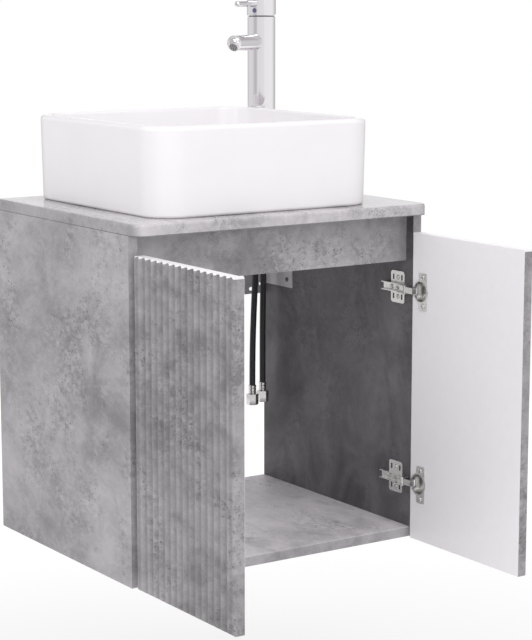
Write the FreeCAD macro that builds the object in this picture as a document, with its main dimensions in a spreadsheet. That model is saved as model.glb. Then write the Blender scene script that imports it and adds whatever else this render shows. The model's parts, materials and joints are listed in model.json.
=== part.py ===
# Wall-hung vanity unit: open-backed cabinet with two fluted doors on concealed hinges,
# worktop, square vessel basin with pop-up waste and bottle trap, and a tall mixer tap.
# Millimetres. +X to the right, +Y into the wall, +Z up. The origin is in the wall plane,
# midway between the two slots that hang the unit, and the doors stand open at rest.
import FreeCAD
import Part
import math
import os
import re

doc = FreeCAD.newDocument("vanity")

# Driving sizes: name, millimetres (or degrees), what it is
SIZES = [
    ("width", 550, "cabinet width, outside"),
    ("depth", 437, "depth of the side panels"),
    ("side_height", 540, "height of the side panels"),
    ("board", 16, "thickness of sides, base and rail"),
    ("underside", -365, "height of the cabinet's underside from the wall slots"),
    ("worktop_thick", 18, "worktop thickness"),
    ("worktop_overhang", 22, "worktop overhang at the front"),
    ("worktop_corner", 20, "rounding of the worktop's front corners in plan"),
    ("worktop_edge", 4, "rounding of the worktop's top edge"),
    ("rail_height", 78, "height of the front rail"),
    ("rail_setback", 18, "front rail behind the cabinet front"),
    ("play", 0.1, "clearance round fasteners and pushed-in pieces"),
    ("pin_play", 0.05, "radial clearance of turning and sliding pins"),
    ("dowel_radius", 4, "dowel radius"),
    ("dowel_length", 30, "dowel length"),
    ("dowel_end", 11, "dowel depth in the thinner side of the joint"),
    ("dowel_line", 100, "dowels from the front and back edges"),
    ("cam_line", 50, "cam fittings from the front and back edges"),
    ("cam_reach", 24, "cam centre from the side panel's inner face"),
    ("cam_radius", 7.5, "cam radius"),
    ("cam_depth", 12.5, "cam depth"),
    ("bolt_radius", 3, "cam bolt radius"),
    ("bolt_end", 11, "cam bolt depth in the side panel"),
    ("rail_dowel", 20, "rail dowel below the side panel's top"),
    ("rail_cam", 56, "rail cam fitting below the side panel's top"),
    ("bracket_thick", 2, "wall bracket steel"),
    ("bracket_width", 45, "wall bracket leg on the wall"),
    ("bracket_depth", 91, "wall bracket leg on the side panel"),
    ("bracket_drop", 9, "wall leg below the slot line"),
    ("bracket_rise", 60, "bracket top above the slot line"),
    ("bracket_step", 10, "side leg's lower edge above the slot line"),
    ("bracket_inset", 14, "bracket screws from the edges of the side leg"),
    ("slot_inset", 29, "wall slot from the side panel"),
    ("slot_length", 10, "wall slot length"),
    ("slot_width", 6.5, "wall slot width"),
    ("pilot_radius", 2.6, "second wall hole radius"),
    ("pilot_inset", 10, "second wall hole from the side panel"),
    ("pilot_rise", 8, "second wall hole above the slot line"),
    ("screw_radius", 2, "chipboard screw shank radius"),
    ("screw_head", 4, "screw head radius"),
    ("screw_head_thick", 2, "screw head thickness"),
    ("screw_bite", 12, "screw length in the board"),
    ("cup_screw_bite", 10, "cup screw length in the door"),
    ("door_width", 272, "door width"),
    ("finger_gap", 29, "gap above the doors, below the side panels' top"),
    ("door_thick", 18, "door thickness over the flutes"),
    ("door_bevel", 2.5, "bevel round the door's outer face"),
    ("flute_pitch", 17, "flute spacing"),
    ("flute_depth", 3, "flute depth"),
    ("flute_radius", 11, "flute radius"),
    ("open_inset", 5.9, "open door's inner face inboard of the side panel's"),
    ("open_gap", 8.3, "open door's hinge edge in front of the side panel"),
    ("hinge_inset", 95, "hinge centres from the door's ends"),
    ("cup_edge", 3, "cup's edge from the door's hinge edge"),
    ("cup_radius", 17.5, "hinge cup radius"),
    ("cup_depth", 12, "hinge cup depth"),
    ("cup_wall", 0.8, "hinge cup wall"),
    ("cup_lip", 1.5, "lip round the cup"),
    ("flange_height", 62, "cup flange length"),
    ("flange_width", 21, "cup flange width"),
    ("flange_offset", 6, "cup flange's middle from the cup's, away from the hinge edge"),
    ("flange_thick", 1, "cup flange thickness"),
    ("flange_corner", 3, "rounding of the cup flange's corners"),
    ("flange_screws", 48, "cup screw spacing"),
    ("cup_pivot_edge", 7.3269, "cup pivot from the door's hinge edge"),
    ("cup_pivot_depth", 2.5, "cup pivot below the door's inner face"),
    ("lug_reach", 2.6, "cup lug round the cup pivot"),
    ("lug_thick", 2, "cup lug thickness"),
    ("arm_pivot_in", 13, "arm pivot inboard of the side panel"),
    ("arm_pivot_back", 5, "arm pivot behind the cabinet front"),
    ("pin_radius", 1.2, "hinge pin radius"),
    ("link_width", 10, "link width"),
    ("link_thick", 2, "link thickness"),
    ("link_eye", 2.4, "link eye radius"),
    ("link_gap", 0.4, "side clearance of a link"),
    ("ear_thick", 1.7, "arm side wall"),
    ("ear_front", 0.8, "arm's front end behind the cabinet front"),
    ("ear_length", 24, "length of the arm's deep front part"),
    ("ear_nose", 4, "arm's ears past the arm pivot"),
    ("ear_round_radius", 3, "rounding of the arm's ears"),
    ("arm_length", 70, "arm's rear end behind the cabinet front"),
    ("arm_web", 2, "arm floor thickness"),
    ("arm_wall", 7, "height of the arm's side walls at the rear"),
    ("plate_line", 37, "hinge plate screw line behind the cabinet front"),
    ("plate_depth", 36, "hinge plate depth"),
    ("plate_height", 53, "hinge plate height"),
    ("plate_thick", 2.2, "hinge plate thickness"),
    ("plate_corner", 5, "rounding of the hinge plate's corners"),
    ("plate_screws", 32, "hinge plate screw spacing"),
    ("plate_slot_gap", 22, "spacing of the plate's open slots"),
    ("plate_slot_width", 4, "width of the plate's open slots"),
    ("plate_slot_height", 9, "height of the plate's open slots"),
    ("rail_block", 4, "height of the plate's centre block"),
    ("block_front", 12, "centre block's front end behind the cabinet front"),
    ("block_back", 4, "centre block's rear end in front of the arm's"),
    ("block_width", 14, "width of the plate's centre block"),
    ("fix_back", 48, "arm fixing screw behind the cabinet front"),
    ("adjust_back", 33, "arm adjusting screw behind the cabinet front"),
    ("basin_side", 59, "basin's left side from the cabinet's left side"),
    ("basin_gap", 4.5, "gap between basin and tap"),
    ("basin_back", 11, "basin's rear side from the wall"),
    ("basin_front", 14, "basin's front behind the cabinet front"),
    ("basin_height", 139, "basin height"),
    ("basin_taper", 2, "basin sides drawn in at the foot"),
    ("basin_corner", 52, "basin's corner radius in plan"),
    ("basin_foot", 5, "rounding of the basin's foot"),
    ("basin_wall", 14, "basin wall at the rim"),
    ("basin_floor", 18, "basin floor thickness"),
    ("bowl_slope", 12, "bowl's sides drawn in at its floor"),
    ("basin_bowl", 34, "rounding of the bowl's floor"),
    ("basin_rim", 7, "rounding of the rim's outer edge"),
    ("basin_lip", 4, "rounding of the rim's inner edge"),
    ("drain_radius", 22.5, "basin's waste hole radius"),
    ("waste_hole", 38, "worktop hole under the basin"),
    ("tail_radius", 20.5, "waste tail radius"),
    ("tail_bore", 17.5, "waste tail bore radius"),
    ("tail_length", 78, "waste tail below the worktop's top"),
    ("flange_radius", 32, "waste flange radius"),
    ("flange_rise", 3, "waste flange thickness"),
    ("seal_thick", 1.5, "upper waste seal thickness"),
    ("washer_thick", 3, "lower waste seal thickness"),
    ("nut_height", 10, "waste nut height"),
    ("nut_radius", 33, "waste nut radius"),
    ("plug_radius", 31, "waste plug radius"),
    ("plug_thick", 5, "waste plug thickness"),
    ("plug_gap", 0.3, "closed plug above the flange"),
    ("plug_edge", 2, "rounding of the plug's edge"),
    ("stem_tail", 4, "plug stem below its guide"),
    ("plug_stem", 5, "plug stem radius"),
    ("hub_radius", 8, "plug guide radius"),
    ("hub_height", 14, "plug guide height"),
    ("hub_drop", 20, "plug guide below the flange"),
    ("bar_thick", 3, "strainer bar thickness"),
    ("trap_radius", 30, "trap body radius"),
    ("trap_wall", 2.5, "trap wall"),
    ("trap_height", 72, "trap body height"),
    ("dip_wall", 1.5, "wall of the trap's dip tube"),
    ("dip_drop", 18, "dip tube below the trap body"),
    ("trap_neck", 24, "trap inlet neck radius"),
    ("neck_height", 18, "trap inlet neck height"),
    ("neck_lap", 15, "waste tail's depth in the neck"),
    ("trap_cup_lap", 12, "trap cup's lap on the body"),
    ("trap_cup_height", 62, "trap cup height"),
    ("trap_cup_round", 6, "rounding of the trap cup's foot"),
    ("union_thick", 4.5, "union nut wall"),
    ("union_height", 15, "union nut height"),
    ("outlet_drop", 26, "outlet axis below the trap body's top"),
    ("outlet_radius", 16, "outlet tube radius"),
    ("outlet_wall", 1.5, "outlet tube wall"),
    ("stub_wall", 4, "trap outlet stub wall"),
    ("stub_reach", 48, "trap outlet stub from the trap axis"),
    ("stub_lap", 12, "outlet tube's depth in the stub"),
    ("outlet_end", 35, "outlet tube past the wall plane"),
    ("stop_radius", 18, "radius of the stop bead on the outlet tube"),
    ("stop_thick", 3, "thickness of the stop bead, from the wall plane"),
    ("rosette_radius", 33, "wall rosette radius"),
    ("rosette_thick", 9, "wall rosette thickness"),
    ("tap_side", 49, "tap axis from the cabinet's right side"),
    ("tap_back", 41, "tap axis from the wall"),
    ("tap_radius", 24.5, "tap body radius"),
    ("tap_gasket_thick", 2, "tap base gasket thickness"),
    ("tap_height", 295, "tap body's top above the worktop"),
    ("tap_base_bore", 17, "bore in the tap's base"),
    ("tap_base_depth", 14, "depth of the bore in the tap's base"),
    ("tap_hole", 17.5, "worktop tap hole radius"),
    ("cartridge_radius", 17.5, "cartridge radius"),
    ("cartridge_height", 52, "cartridge height"),
    ("collar_radius", 22.5, "radius of the cartridge collar under the handle cap"),
    ("collar_height", 1.6, "height of the cartridge collar"),
    ("stem_radius", 6, "cartridge stem radius"),
    ("stem_rise", 27, "cartridge stem above the tap body"),
    ("stem_depth", 18, "cartridge stem's depth in the cartridge"),
    ("seat_gap", 0.3, "free room under the stem"),
    ("handle_radius", 25.5, "handle cap radius"),
    ("handle_gap", 2.2, "gap under the handle cap"),
    ("handle_height", 42, "handle cap height"),
    ("handle_hollow", 19, "radius of the hollow in the handle cap"),
    ("handle_roof", 11, "thickness of the handle cap's top"),
    ("handle_edge", 3, "rounding of the handle cap"),
    ("lift_rise", 14, "lift axis above the cap's underside"),
    ("lift_pin", 2.5, "lift pin radius"),
    ("lift_seat", 1.5, "lift pin's depth in the handle cap"),
    ("lift_relief", 18, "slope of the cap's underside at the back, degrees"),
    ("lever_rise", 20, "lever axis above the cap's underside"),
    ("lever_radius", 5, "lever radius"),
    ("lever_reach", 90, "lever tip from the tap axis"),
    ("lever_seat", 4, "lever's depth in the cap"),
    ("lever_tip", 3, "rounding of the lever's tip"),
    ("spout_angle", 28, "spout turned forward from the left, degrees"),
    ("spout_rise", 251, "spout axis above the worktop"),
    ("spout_radius", 13.5, "spout radius"),
    ("spout_reach", 106, "spout end from the tap axis"),
    ("spout_round", 9, "rounding of the spout's end"),
    ("aerator_radius", 7.5, "aerator radius"),
    ("aerator_depth", 8, "aerator depth in the spout"),
    ("aerator_tilt", 35, "aerator below the spout's axis, degrees"),
    ("aerator_back", 9, "aerator's centre behind the spout's end"),
    ("aerator_drop", 4, "aerator's centre below the spout's axis"),
    ("aerator_out", 5.5, "spout's slanted face from the aerator's centre"),
    ("aerator_proud", 0.6, "aerator proud of the slanted face"),
    ("stud_radius", 3, "tap stud radius"),
    ("stud_front", 10, "tap stud in front of the tap axis"),
    ("stud_bite", 10, "tap stud's depth in the tap body"),
    ("stud_drop", 30, "tap stud below the worktop"),
    ("clamp_radius", 23, "horseshoe washer radius"),
    ("clamp_thick", 3, "horseshoe washer thickness"),
    ("clamp_room", 0.5, "horseshoe washer's clearance round the hoses"),
    ("clamp_nut_radius", 7, "tap nut radius across corners"),
    ("clamp_nut_height", 8, "tap nut height"),
    ("hose_radius", 5.5, "hose radius"),
    ("hose_half_gap", 7.5, "hose from the tap axis, sideways"),
    ("hose_back", 4, "hose behind the tap axis"),
    ("hose_nut_radius", 11, "hose nut radius across corners"),
    ("hose_nut_height", 20, "hose nut height"),
    ("hose_nut_bore", 7, "hose nut bore radius"),
    ("hose_nut_depth", 14, "hose nut bore depth"),
]
FLUTES = 14

sheet = doc.addObject("Spreadsheet::Sheet", "Sizes")
for row, (alias, number, note) in enumerate(SIZES, start=1):
    sheet.set("A%d" % row, note)
    sheet.set("B%d" % row, str(number))
    sheet.setAlias("B%d" % row, alias)
doc.recompute()
VALUE = {alias: float(number) for alias, number, note in SIZES}

# Places that several pieces share, written in the driving sizes
SIDE_IN = "(width / 2 - board)"
FRONT = "(-depth)"
TOP = "(underside + side_height)"
DECK = "(underside + side_height + worktop_thick)"
DOOR_IN = "(width / 2 - board - open_inset)"
DOOR_EDGE = "(-depth - open_gap)"
CUP_Y = "(-depth - open_gap - cup_edge - cup_radius)"
PIVOT_X = "(width / 2 - board - arm_pivot_in)"
PIVOT_Y = "(-depth + arm_pivot_back)"
CUP_PIVOT_X = "(width / 2 - board - open_inset + cup_pivot_depth)"
CUP_PIVOT_Y = "(-depth - open_gap - cup_pivot_edge)"
HINGE_Z = {
    "upper": "(underside + (side_height - finger_gap) - hinge_inset)",
    "lower": "(underside + hinge_inset)",
}
BASIN_WIDE = "(width - basin_side - tap_side - tap_radius - basin_gap)"
BASIN_DEEP = "(depth - basin_back - basin_front)"
BASIN_X = "((basin_side - tap_side - tap_radius - basin_gap) / 2)"
BASIN_Y = "((basin_front - basin_back - depth) / 2)"
BASIN_FLOOR = "(underside + side_height + worktop_thick + basin_floor)"
FLANGE_Z = "(underside + side_height + worktop_thick + basin_floor + seal_thick)"
TAIL_END = "(underside + side_height + worktop_thick - tail_length)"
NECK_TOP = "(underside + side_height + worktop_thick - tail_length + neck_lap)"
TRAP_TOP = "(underside + side_height + worktop_thick - tail_length + neck_lap - neck_height)"
TRAP_LOW = TRAP_TOP[:-1] + " - trap_height)"
OUTLET_Z = TRAP_TOP[:-1] + " - outlet_drop)"
TAP_X = "(width / 2 - tap_side)"
TAP_Y = "(-tap_back)"
TAP_LOW = "(underside + side_height + worktop_thick + tap_gasket_thick)"
TAP_TOP = "(underside + side_height + worktop_thick + tap_height)"
CAP_LOW = "(underside + side_height + worktop_thick + tap_height + handle_gap)"
SPOUT_Z = "(underside + side_height + worktop_thick + spout_rise)"

# Directions a cylinder or cone may run along
TURN = {
    "+z": FreeCAD.Rotation(),
    "-z": FreeCAD.Rotation(FreeCAD.Vector(1, 0, 0), 180),
    "+x": FreeCAD.Rotation(FreeCAD.Vector(0, 1, 0), 90),
    "-x": FreeCAD.Rotation(FreeCAD.Vector(0, 1, 0), -90),
    "+y": FreeCAD.Rotation(FreeCAD.Vector(1, 0, 0), -90),
    "-y": FreeCAD.Rotation(FreeCAD.Vector(1, 0, 0), 90),
}
FLIP = {"+x": "-x", "-x": "+x", "+y": "+y", "-y": "-y", "+z": "+z", "-z": "-z"}

NEAR = 0.01
pieces = []


def in_sheet(text):
    """Point each size named in an expression at its cell."""
    return re.sub(r"[a-z_]+", lambda word: "Sizes." + word[0] if word[0] in VALUE else word[0], text)


def bind(item, **expressions):
    for prop, text in expressions.items():
        item.setExpression(prop, in_sheet(text))


def place(item, at, turn=None):
    if turn is not None:
        item.Placement = FreeCAD.Placement(FreeCAD.Vector(), turn)
    for axis, text in zip("xyz", at):
        item.setExpression("Placement.Base." + axis, in_sheet(text))


def other_side(at):
    """The same place on the left."""
    return ("-(%s)" % at[0], at[1], at[2])


def around(middle, half):
    """Low and high faces on either side of a middle."""
    return ("%s - %s" % (middle, half), "%s + %s" % (middle, half))


def keep(item, label):
    item.Label = label
    if item.Label != label:
        raise RuntimeError("the label %s is taken" % label)
    pieces.append(item)
    return item


def size_box(item, x, y, z):
    """Give a box its low and high faces along each axis."""
    spans = ["(%s) - (%s)" % (high, low) for low, high in (x, y, z)]
    bind(item, Length=spans[0], Width=spans[1], Height=spans[2])
    place(item, (x[0], y[0], z[0]))
    return item


def size_cylinder(item, radius, length, at, along):
    bind(item, Radius=radius, Height=length)
    place(item, at, TURN[along] if isinstance(along, str) else along)
    return item


def box(name, x, y, z):
    return size_box(doc.addObject("Part::Box", name), x, y, z)


def cylinder(name, radius, length, at, along="+z"):
    return size_cylinder(doc.addObject("Part::Cylinder", name), radius, length, at, along)


def hexagon(name, radius, length, at):
    item = doc.addObject("Part::Prism", name)
    item.Polygon = 6
    bind(item, Circumradius=radius, Height=length)
    place(item, at)
    return item


def fuse(name, *shapes):
    item = doc.addObject("Part::MultiFuse", name)
    item.Shapes = list(shapes)
    return item


def cut(name, base, tool):
    item = doc.addObject("Part::Cut", name)
    item.Base = base
    item.Tool = tool
    return item


def group(name, *shapes):
    item = doc.addObject("Part::Compound", name)
    item.Links = list(shapes)
    return item


def mirror(name, source):
    """The left-hand copy of a right-hand piece."""
    item = doc.addObject("Part::Mirroring", name)
    item.Source = source
    item.Normal = FreeCAD.Vector(1, 0, 0)
    return item


def round_edges(name, base, radius, wanted):
    """Round the edges of a shape that a test picks."""
    doc.recompute()
    item = doc.addObject("Part::Fillet", name)
    item.Base = base
    item.Edges = [(i, radius, radius) for i, edge in enumerate(base.Shape.Edges, start=1) if wanted(edge)]
    return item


class Piece:
    """One solid built up in a body from boxes and cylinders, added or cut away."""

    def __init__(self, label):
        self.body = keep(doc.addObject("PartDesign::Body", label), label)

    def feature(self, kind, name):
        return self.body.newObject("PartDesign::" + kind, name)

    def add_box(self, name, x, y, z):
        size_box(self.feature("AdditiveBox", name), x, y, z)

    def cut_box(self, name, x, y, z):
        size_box(self.feature("SubtractiveBox", name), x, y, z)

    def add_cylinder(self, name, radius, length, at, along="+z"):
        size_cylinder(self.feature("AdditiveCylinder", name), radius, length, at, along)

    def cut_cylinder(self, name, radius, length, at, along="+z"):
        size_cylinder(self.feature("SubtractiveCylinder", name), radius, length, at, along)

    def add_cone(self, name, radius, end_radius, length, at, along="+z"):
        item = self.feature("AdditiveCone", name)
        bind(item, Radius1=radius, Radius2=end_radius, Height=length)
        place(item, at, TURN[along])

    def cut_both_sides(self, name, radius, length, at, along):
        self.cut_cylinder(name, radius, length, at, along)
        self.cut_cylinder(name + "_left", radius, length, other_side(at), FLIP[along])

    def soften(self, kind, name, size, wanted):
        """Fillet or chamfer the edges that a test picks."""
        doc.recompute()
        last = self.body.Tip
        names = ["Edge%d" % i for i, edge in enumerate(last.Shape.Edges, start=1) if wanted(edge)]
        item = self.feature(kind, name)
        item.Base = (last, names)
        bind(item, **{"Radius" if kind == "Fillet" else "Size": size})

    def stand(self, at, turn):
        """Set the whole piece at a place, turned about the upright axis."""
        self.body.Placement = FreeCAD.Placement(FreeCAD.Vector(),
                                                FreeCAD.Rotation(FreeCAD.Vector(0, 0, 1), 1))
        self.body.setExpression("Placement.Rotation.Angle", in_sheet(turn))
        place(self.body, at)


def runs_along(edge, axis):
    """True for a straight edge along one axis."""
    spans = [edge.BoundBox.XLength, edge.BoundBox.YLength, edge.BoundBox.ZLength]
    across = [span for i, span in enumerate(spans) if i != "xyz".index(axis)]
    return spans["xyz".index(axis)] > NEAR and max(across) < NEAR


# Cabinet joints: dowels and cam fittings on the right, each repeated on the left
RAIL_MID = "(-depth + rail_setback + board / 2)"
RAIL_BACK = "(-depth + rail_setback + board)"
DOWEL_X = "(width / 2 - board - dowel_length + dowel_end)"
CAM_X = "(width / 2 - board - cam_reach)"
BOLT_LENGTH = "cam_reach + bolt_end"
BASE_MID = "(underside + board / 2)"
DOWEL_ROWS = ("(-depth + dowel_line)", "(-dowel_line)")
CAM_ROWS = ("(-depth + cam_line)", "(-cam_line)")
RAIL_DOWEL_Z = "(underside + side_height - rail_dowel)"
RAIL_CAM_Z = "(underside + side_height - rail_cam)"

BASE_DOWELS = [(DOWEL_X, y, BASE_MID) for y in DOWEL_ROWS]
RAIL_DOWELS = [(DOWEL_X, RAIL_MID, RAIL_DOWEL_Z)]
TOP_DOWELS = [("(width / 2 - board / 2)", y, "(underside + side_height - dowel_length + dowel_end)")
              for y in DOWEL_ROWS]
BASE_BOLTS = [(CAM_X, y, BASE_MID) for y in CAM_ROWS]
RAIL_BOLTS = [(CAM_X, RAIL_MID, RAIL_CAM_Z)]
BASE_CAMS = [(CAM_X, y, "underside") for y in CAM_ROWS]
RAIL_CAMS = [(CAM_X, RAIL_BACK + " - cam_depth", RAIL_CAM_Z)]
BRACKET_SCREWS = [("(width / 2 - board - bracket_thick)", "(-bracket_depth + bracket_inset)", z)
                  for z in ("(bracket_step + bracket_inset)", "(bracket_rise - bracket_inset)")]
PLATE_SCREWS = [("(width / 2 - board - plate_thick)", "(-depth + plate_line)",
                 z + sign + "plate_screws / 2")
                for z in HINGE_Z.values() for sign in (" + ", " - ")]

DOWEL_HOLE = ("dowel_radius + play", "dowel_length")
BOLT_HOLE = ("bolt_radius + play", BOLT_LENGTH)
CAM_HOLE = ("cam_radius + play", "cam_depth")
SCREW_HOLE = "screw_radius + play"

right_side = Piece("right_side_panel")
right_side.add_box("board_right", (SIDE_IN, "width / 2"), (FRONT, "0"), ("underside", TOP))
for at in BASE_DOWELS + RAIL_DOWELS:
    right_side.cut_cylinder("side_dowel_hole", *DOWEL_HOLE, at, "+x")
for at in TOP_DOWELS:
    right_side.cut_cylinder("top_dowel_hole", *DOWEL_HOLE, at, "+z")
for at in BASE_BOLTS + RAIL_BOLTS:
    right_side.cut_cylinder("side_bolt_hole", *BOLT_HOLE, at, "+x")
for at in BRACKET_SCREWS:
    right_side.cut_cylinder("bracket_screw_hole", SCREW_HOLE, "bracket_thick + screw_bite", at, "+x")
for at in PLATE_SCREWS:
    right_side.cut_cylinder("plate_screw_hole", SCREW_HOLE, "plate_thick + screw_bite", at, "+x")
keep(mirror("left_side", right_side.body), "left_side_panel")

base = Piece("base_panel")
base.add_box("board_base", ("-" + SIDE_IN, SIDE_IN), (FRONT, "0"), ("underside", "underside + board"))
for at in BASE_DOWELS:
    base.cut_both_sides("base_dowel_hole", *DOWEL_HOLE, at, "+x")
for at in BASE_BOLTS:
    base.cut_both_sides("base_bolt_hole", *BOLT_HOLE, at, "+x")
for at in BASE_CAMS:
    base.cut_both_sides("base_cam_hole", *CAM_HOLE, at, "+z")

rail = Piece("front_rail")
rail.add_box("board_rail", ("-" + SIDE_IN, SIDE_IN), ("(-depth + rail_setback)", RAIL_BACK),
             (TOP + " - rail_height", TOP))
for at in RAIL_DOWELS:
    rail.cut_both_sides("rail_dowel_hole", *DOWEL_HOLE, at, "+x")
for at in RAIL_BOLTS:
    rail.cut_both_sides("rail_bolt_hole", *BOLT_HOLE, at, "+x")
for at in RAIL_CAMS:
    rail.cut_both_sides("rail_cam_hole", *CAM_HOLE, at, "+y")

worktop = Piece("worktop")
worktop.add_box("board_top", ("-width / 2", "width / 2"), (FRONT + " - worktop_overhang", "0"),
                (TOP, DECK))
worktop.soften("Fillet", "front_corners", "worktop_corner",
               lambda edge: runs_along(edge, "z") and edge.BoundBox.YMax < -VALUE["depth"])
worktop.soften("Fillet", "top_edge", "worktop_edge",
               lambda edge: edge.BoundBox.ZMin > VALUE["underside"] + VALUE["side_height"] + NEAR
               and edge.BoundBox.YMin < -NEAR)
worktop.cut_cylinder("waste_cutout", "waste_hole", "worktop_thick", (BASIN_X, BASIN_Y, TOP))
worktop.cut_cylinder("tap_cutout", "tap_hole", "worktop_thick", (TAP_X, TAP_Y, TOP))
for at in TOP_DOWELS:
    worktop.cut_both_sides("worktop_dowel_hole", *DOWEL_HOLE, at, "+z")

dowels = [cylinder("dowel", "dowel_radius", "dowel_length", at, "+x") for at in BASE_DOWELS + RAIL_DOWELS]
dowels += [cylinder("top_dowel", "dowel_radius", "dowel_length", at, "+z") for at in TOP_DOWELS]
right_dowels = group("right_dowels", *dowels)
keep(group("all_dowels", right_dowels, mirror("left_dowels", right_dowels)), "dowels")

bolts = [cylinder("cam_bolt", "bolt_radius", BOLT_LENGTH, at, "+x") for at in BASE_BOLTS + RAIL_BOLTS]
right_bolts = group("right_bolts", *bolts)
keep(group("all_bolts", right_bolts, mirror("left_bolts", right_bolts)), "cam_bolts")

cams = [cylinder("cam", "cam_radius", "cam_depth", at, "+z") for at in BASE_CAMS]
cams += [cylinder("rail_cam", "cam_radius", "cam_depth", at, "+y") for at in RAIL_CAMS]
bolt_room = group("bolt_room", *[cylinder("bolt_way", *BOLT_HOLE, at,
                                          "+x") for at in BASE_BOLTS + RAIL_BOLTS])
right_cams = cut("right_cams", group("cam_blanks", *cams), bolt_room)
keep(group("all_cams", right_cams, mirror("left_cams", right_cams)), "cam_locks")


def screw(name, seat, grip):
    """A pan-head screw driven towards +X from its seat."""
    head = cylinder(name + "_head", "screw_head", "screw_head_thick",
                    (seat[0] + " - screw_head_thick",) + seat[1:], "+x")
    shank = cylinder(name + "_shank", "screw_radius", grip, seat, "+x")
    return fuse(name, head, shank)


# Steel angles that hang the cabinet: one leg on the wall, one screwed to the side panel
bracket = Piece("right_wall_bracket")
bracket.add_box("wall_leg", (SIDE_IN + " - bracket_width", SIDE_IN), ("-bracket_thick", "0"),
                ("-bracket_drop", "bracket_rise"))
bracket.add_box("side_leg", (SIDE_IN + " - bracket_thick", SIDE_IN), ("-bracket_depth", "0"),
                ("bracket_step", "bracket_rise"))
SLOT_ENDS = around(SIDE_IN + " - slot_inset", "(slot_length - slot_width) / 2")
bracket.cut_box("slot_middle", SLOT_ENDS, ("-bracket_thick", "0"), ("-slot_width / 2", "slot_width / 2"))
for end in SLOT_ENDS:
    bracket.cut_cylinder("slot_end", "slot_width / 2", "bracket_thick", (end, "-bracket_thick", "0"),
                         "+y")
bracket.cut_cylinder("pilot_hole", "pilot_radius", "bracket_thick",
                     (SIDE_IN + " - pilot_inset", "-bracket_thick", "pilot_rise"), "+y")
for at in BRACKET_SCREWS:
    bracket.cut_cylinder("side_hole", SCREW_HOLE, "bracket_thick", at, "+x")
keep(mirror("left_bracket", bracket.body), "left_wall_bracket")
right_bracket_screws = group("right_bracket_screws",
                             *[screw("bracket_screw", at,
                                     "bracket_thick + screw_bite") for at in BRACKET_SCREWS])
keep(group("all_bracket_screws", right_bracket_screws,
           mirror("left_bracket_screws", right_bracket_screws)),
     "bracket_screws")

# Doors, standing open: the fluted face is outside, the cups are sunk in the inner face
DOOR_OUT = "(width / 2 - board - open_inset + door_thick)"
CUP_SCREWS = [(DOOR_IN + " - flange_thick", CUP_Y + " - flange_offset", z + sign + "flange_screws / 2")
              for z in HINGE_Z.values() for sign in (" + ", " - ")]

door = Piece("right_door")
door.add_box("door_board", (DOOR_IN, DOOR_OUT), (DOOR_EDGE + " - door_width", DOOR_EDGE),
             ("underside", "underside + (side_height - finger_gap)"))
door_face = VALUE["width"] / 2 - VALUE["board"] - VALUE["open_inset"] + VALUE["door_thick"]
door.soften("Chamfer", "face_bevel", "door_bevel", lambda edge: edge.BoundBox.XMin > door_face - NEAR)
for flute in range(FLUTES):
    flute_y = DOOR_EDGE + " - door_width / 2 + flute_pitch * (%g)" % (flute - (FLUTES - 1) / 2)
    door.cut_cylinder("flute", "flute_radius", "(side_height - finger_gap)",
                      (DOOR_OUT + " + flute_radius - flute_depth", flute_y, "underside"))
for z in HINGE_Z.values():
    door.cut_cylinder("cup_hole", "cup_radius + play", "cup_depth", (DOOR_IN, CUP_Y, z), "+x")
for at in CUP_SCREWS:
    door.cut_cylinder("cup_screw_hole", SCREW_HOLE, "flange_thick + cup_screw_bite", at, "+x")
keep(mirror("left_door_copy", door.body), "left_door")
right_cup_screws = keep(group("cup_screw_set",
                              *[screw("cup_screw", at,
                                      "flange_thick + cup_screw_bite") for at in CUP_SCREWS]),
                        "right_cup_screws")
keep(mirror("left_cup_screw_set", right_cup_screws), "left_cup_screws")

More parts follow.
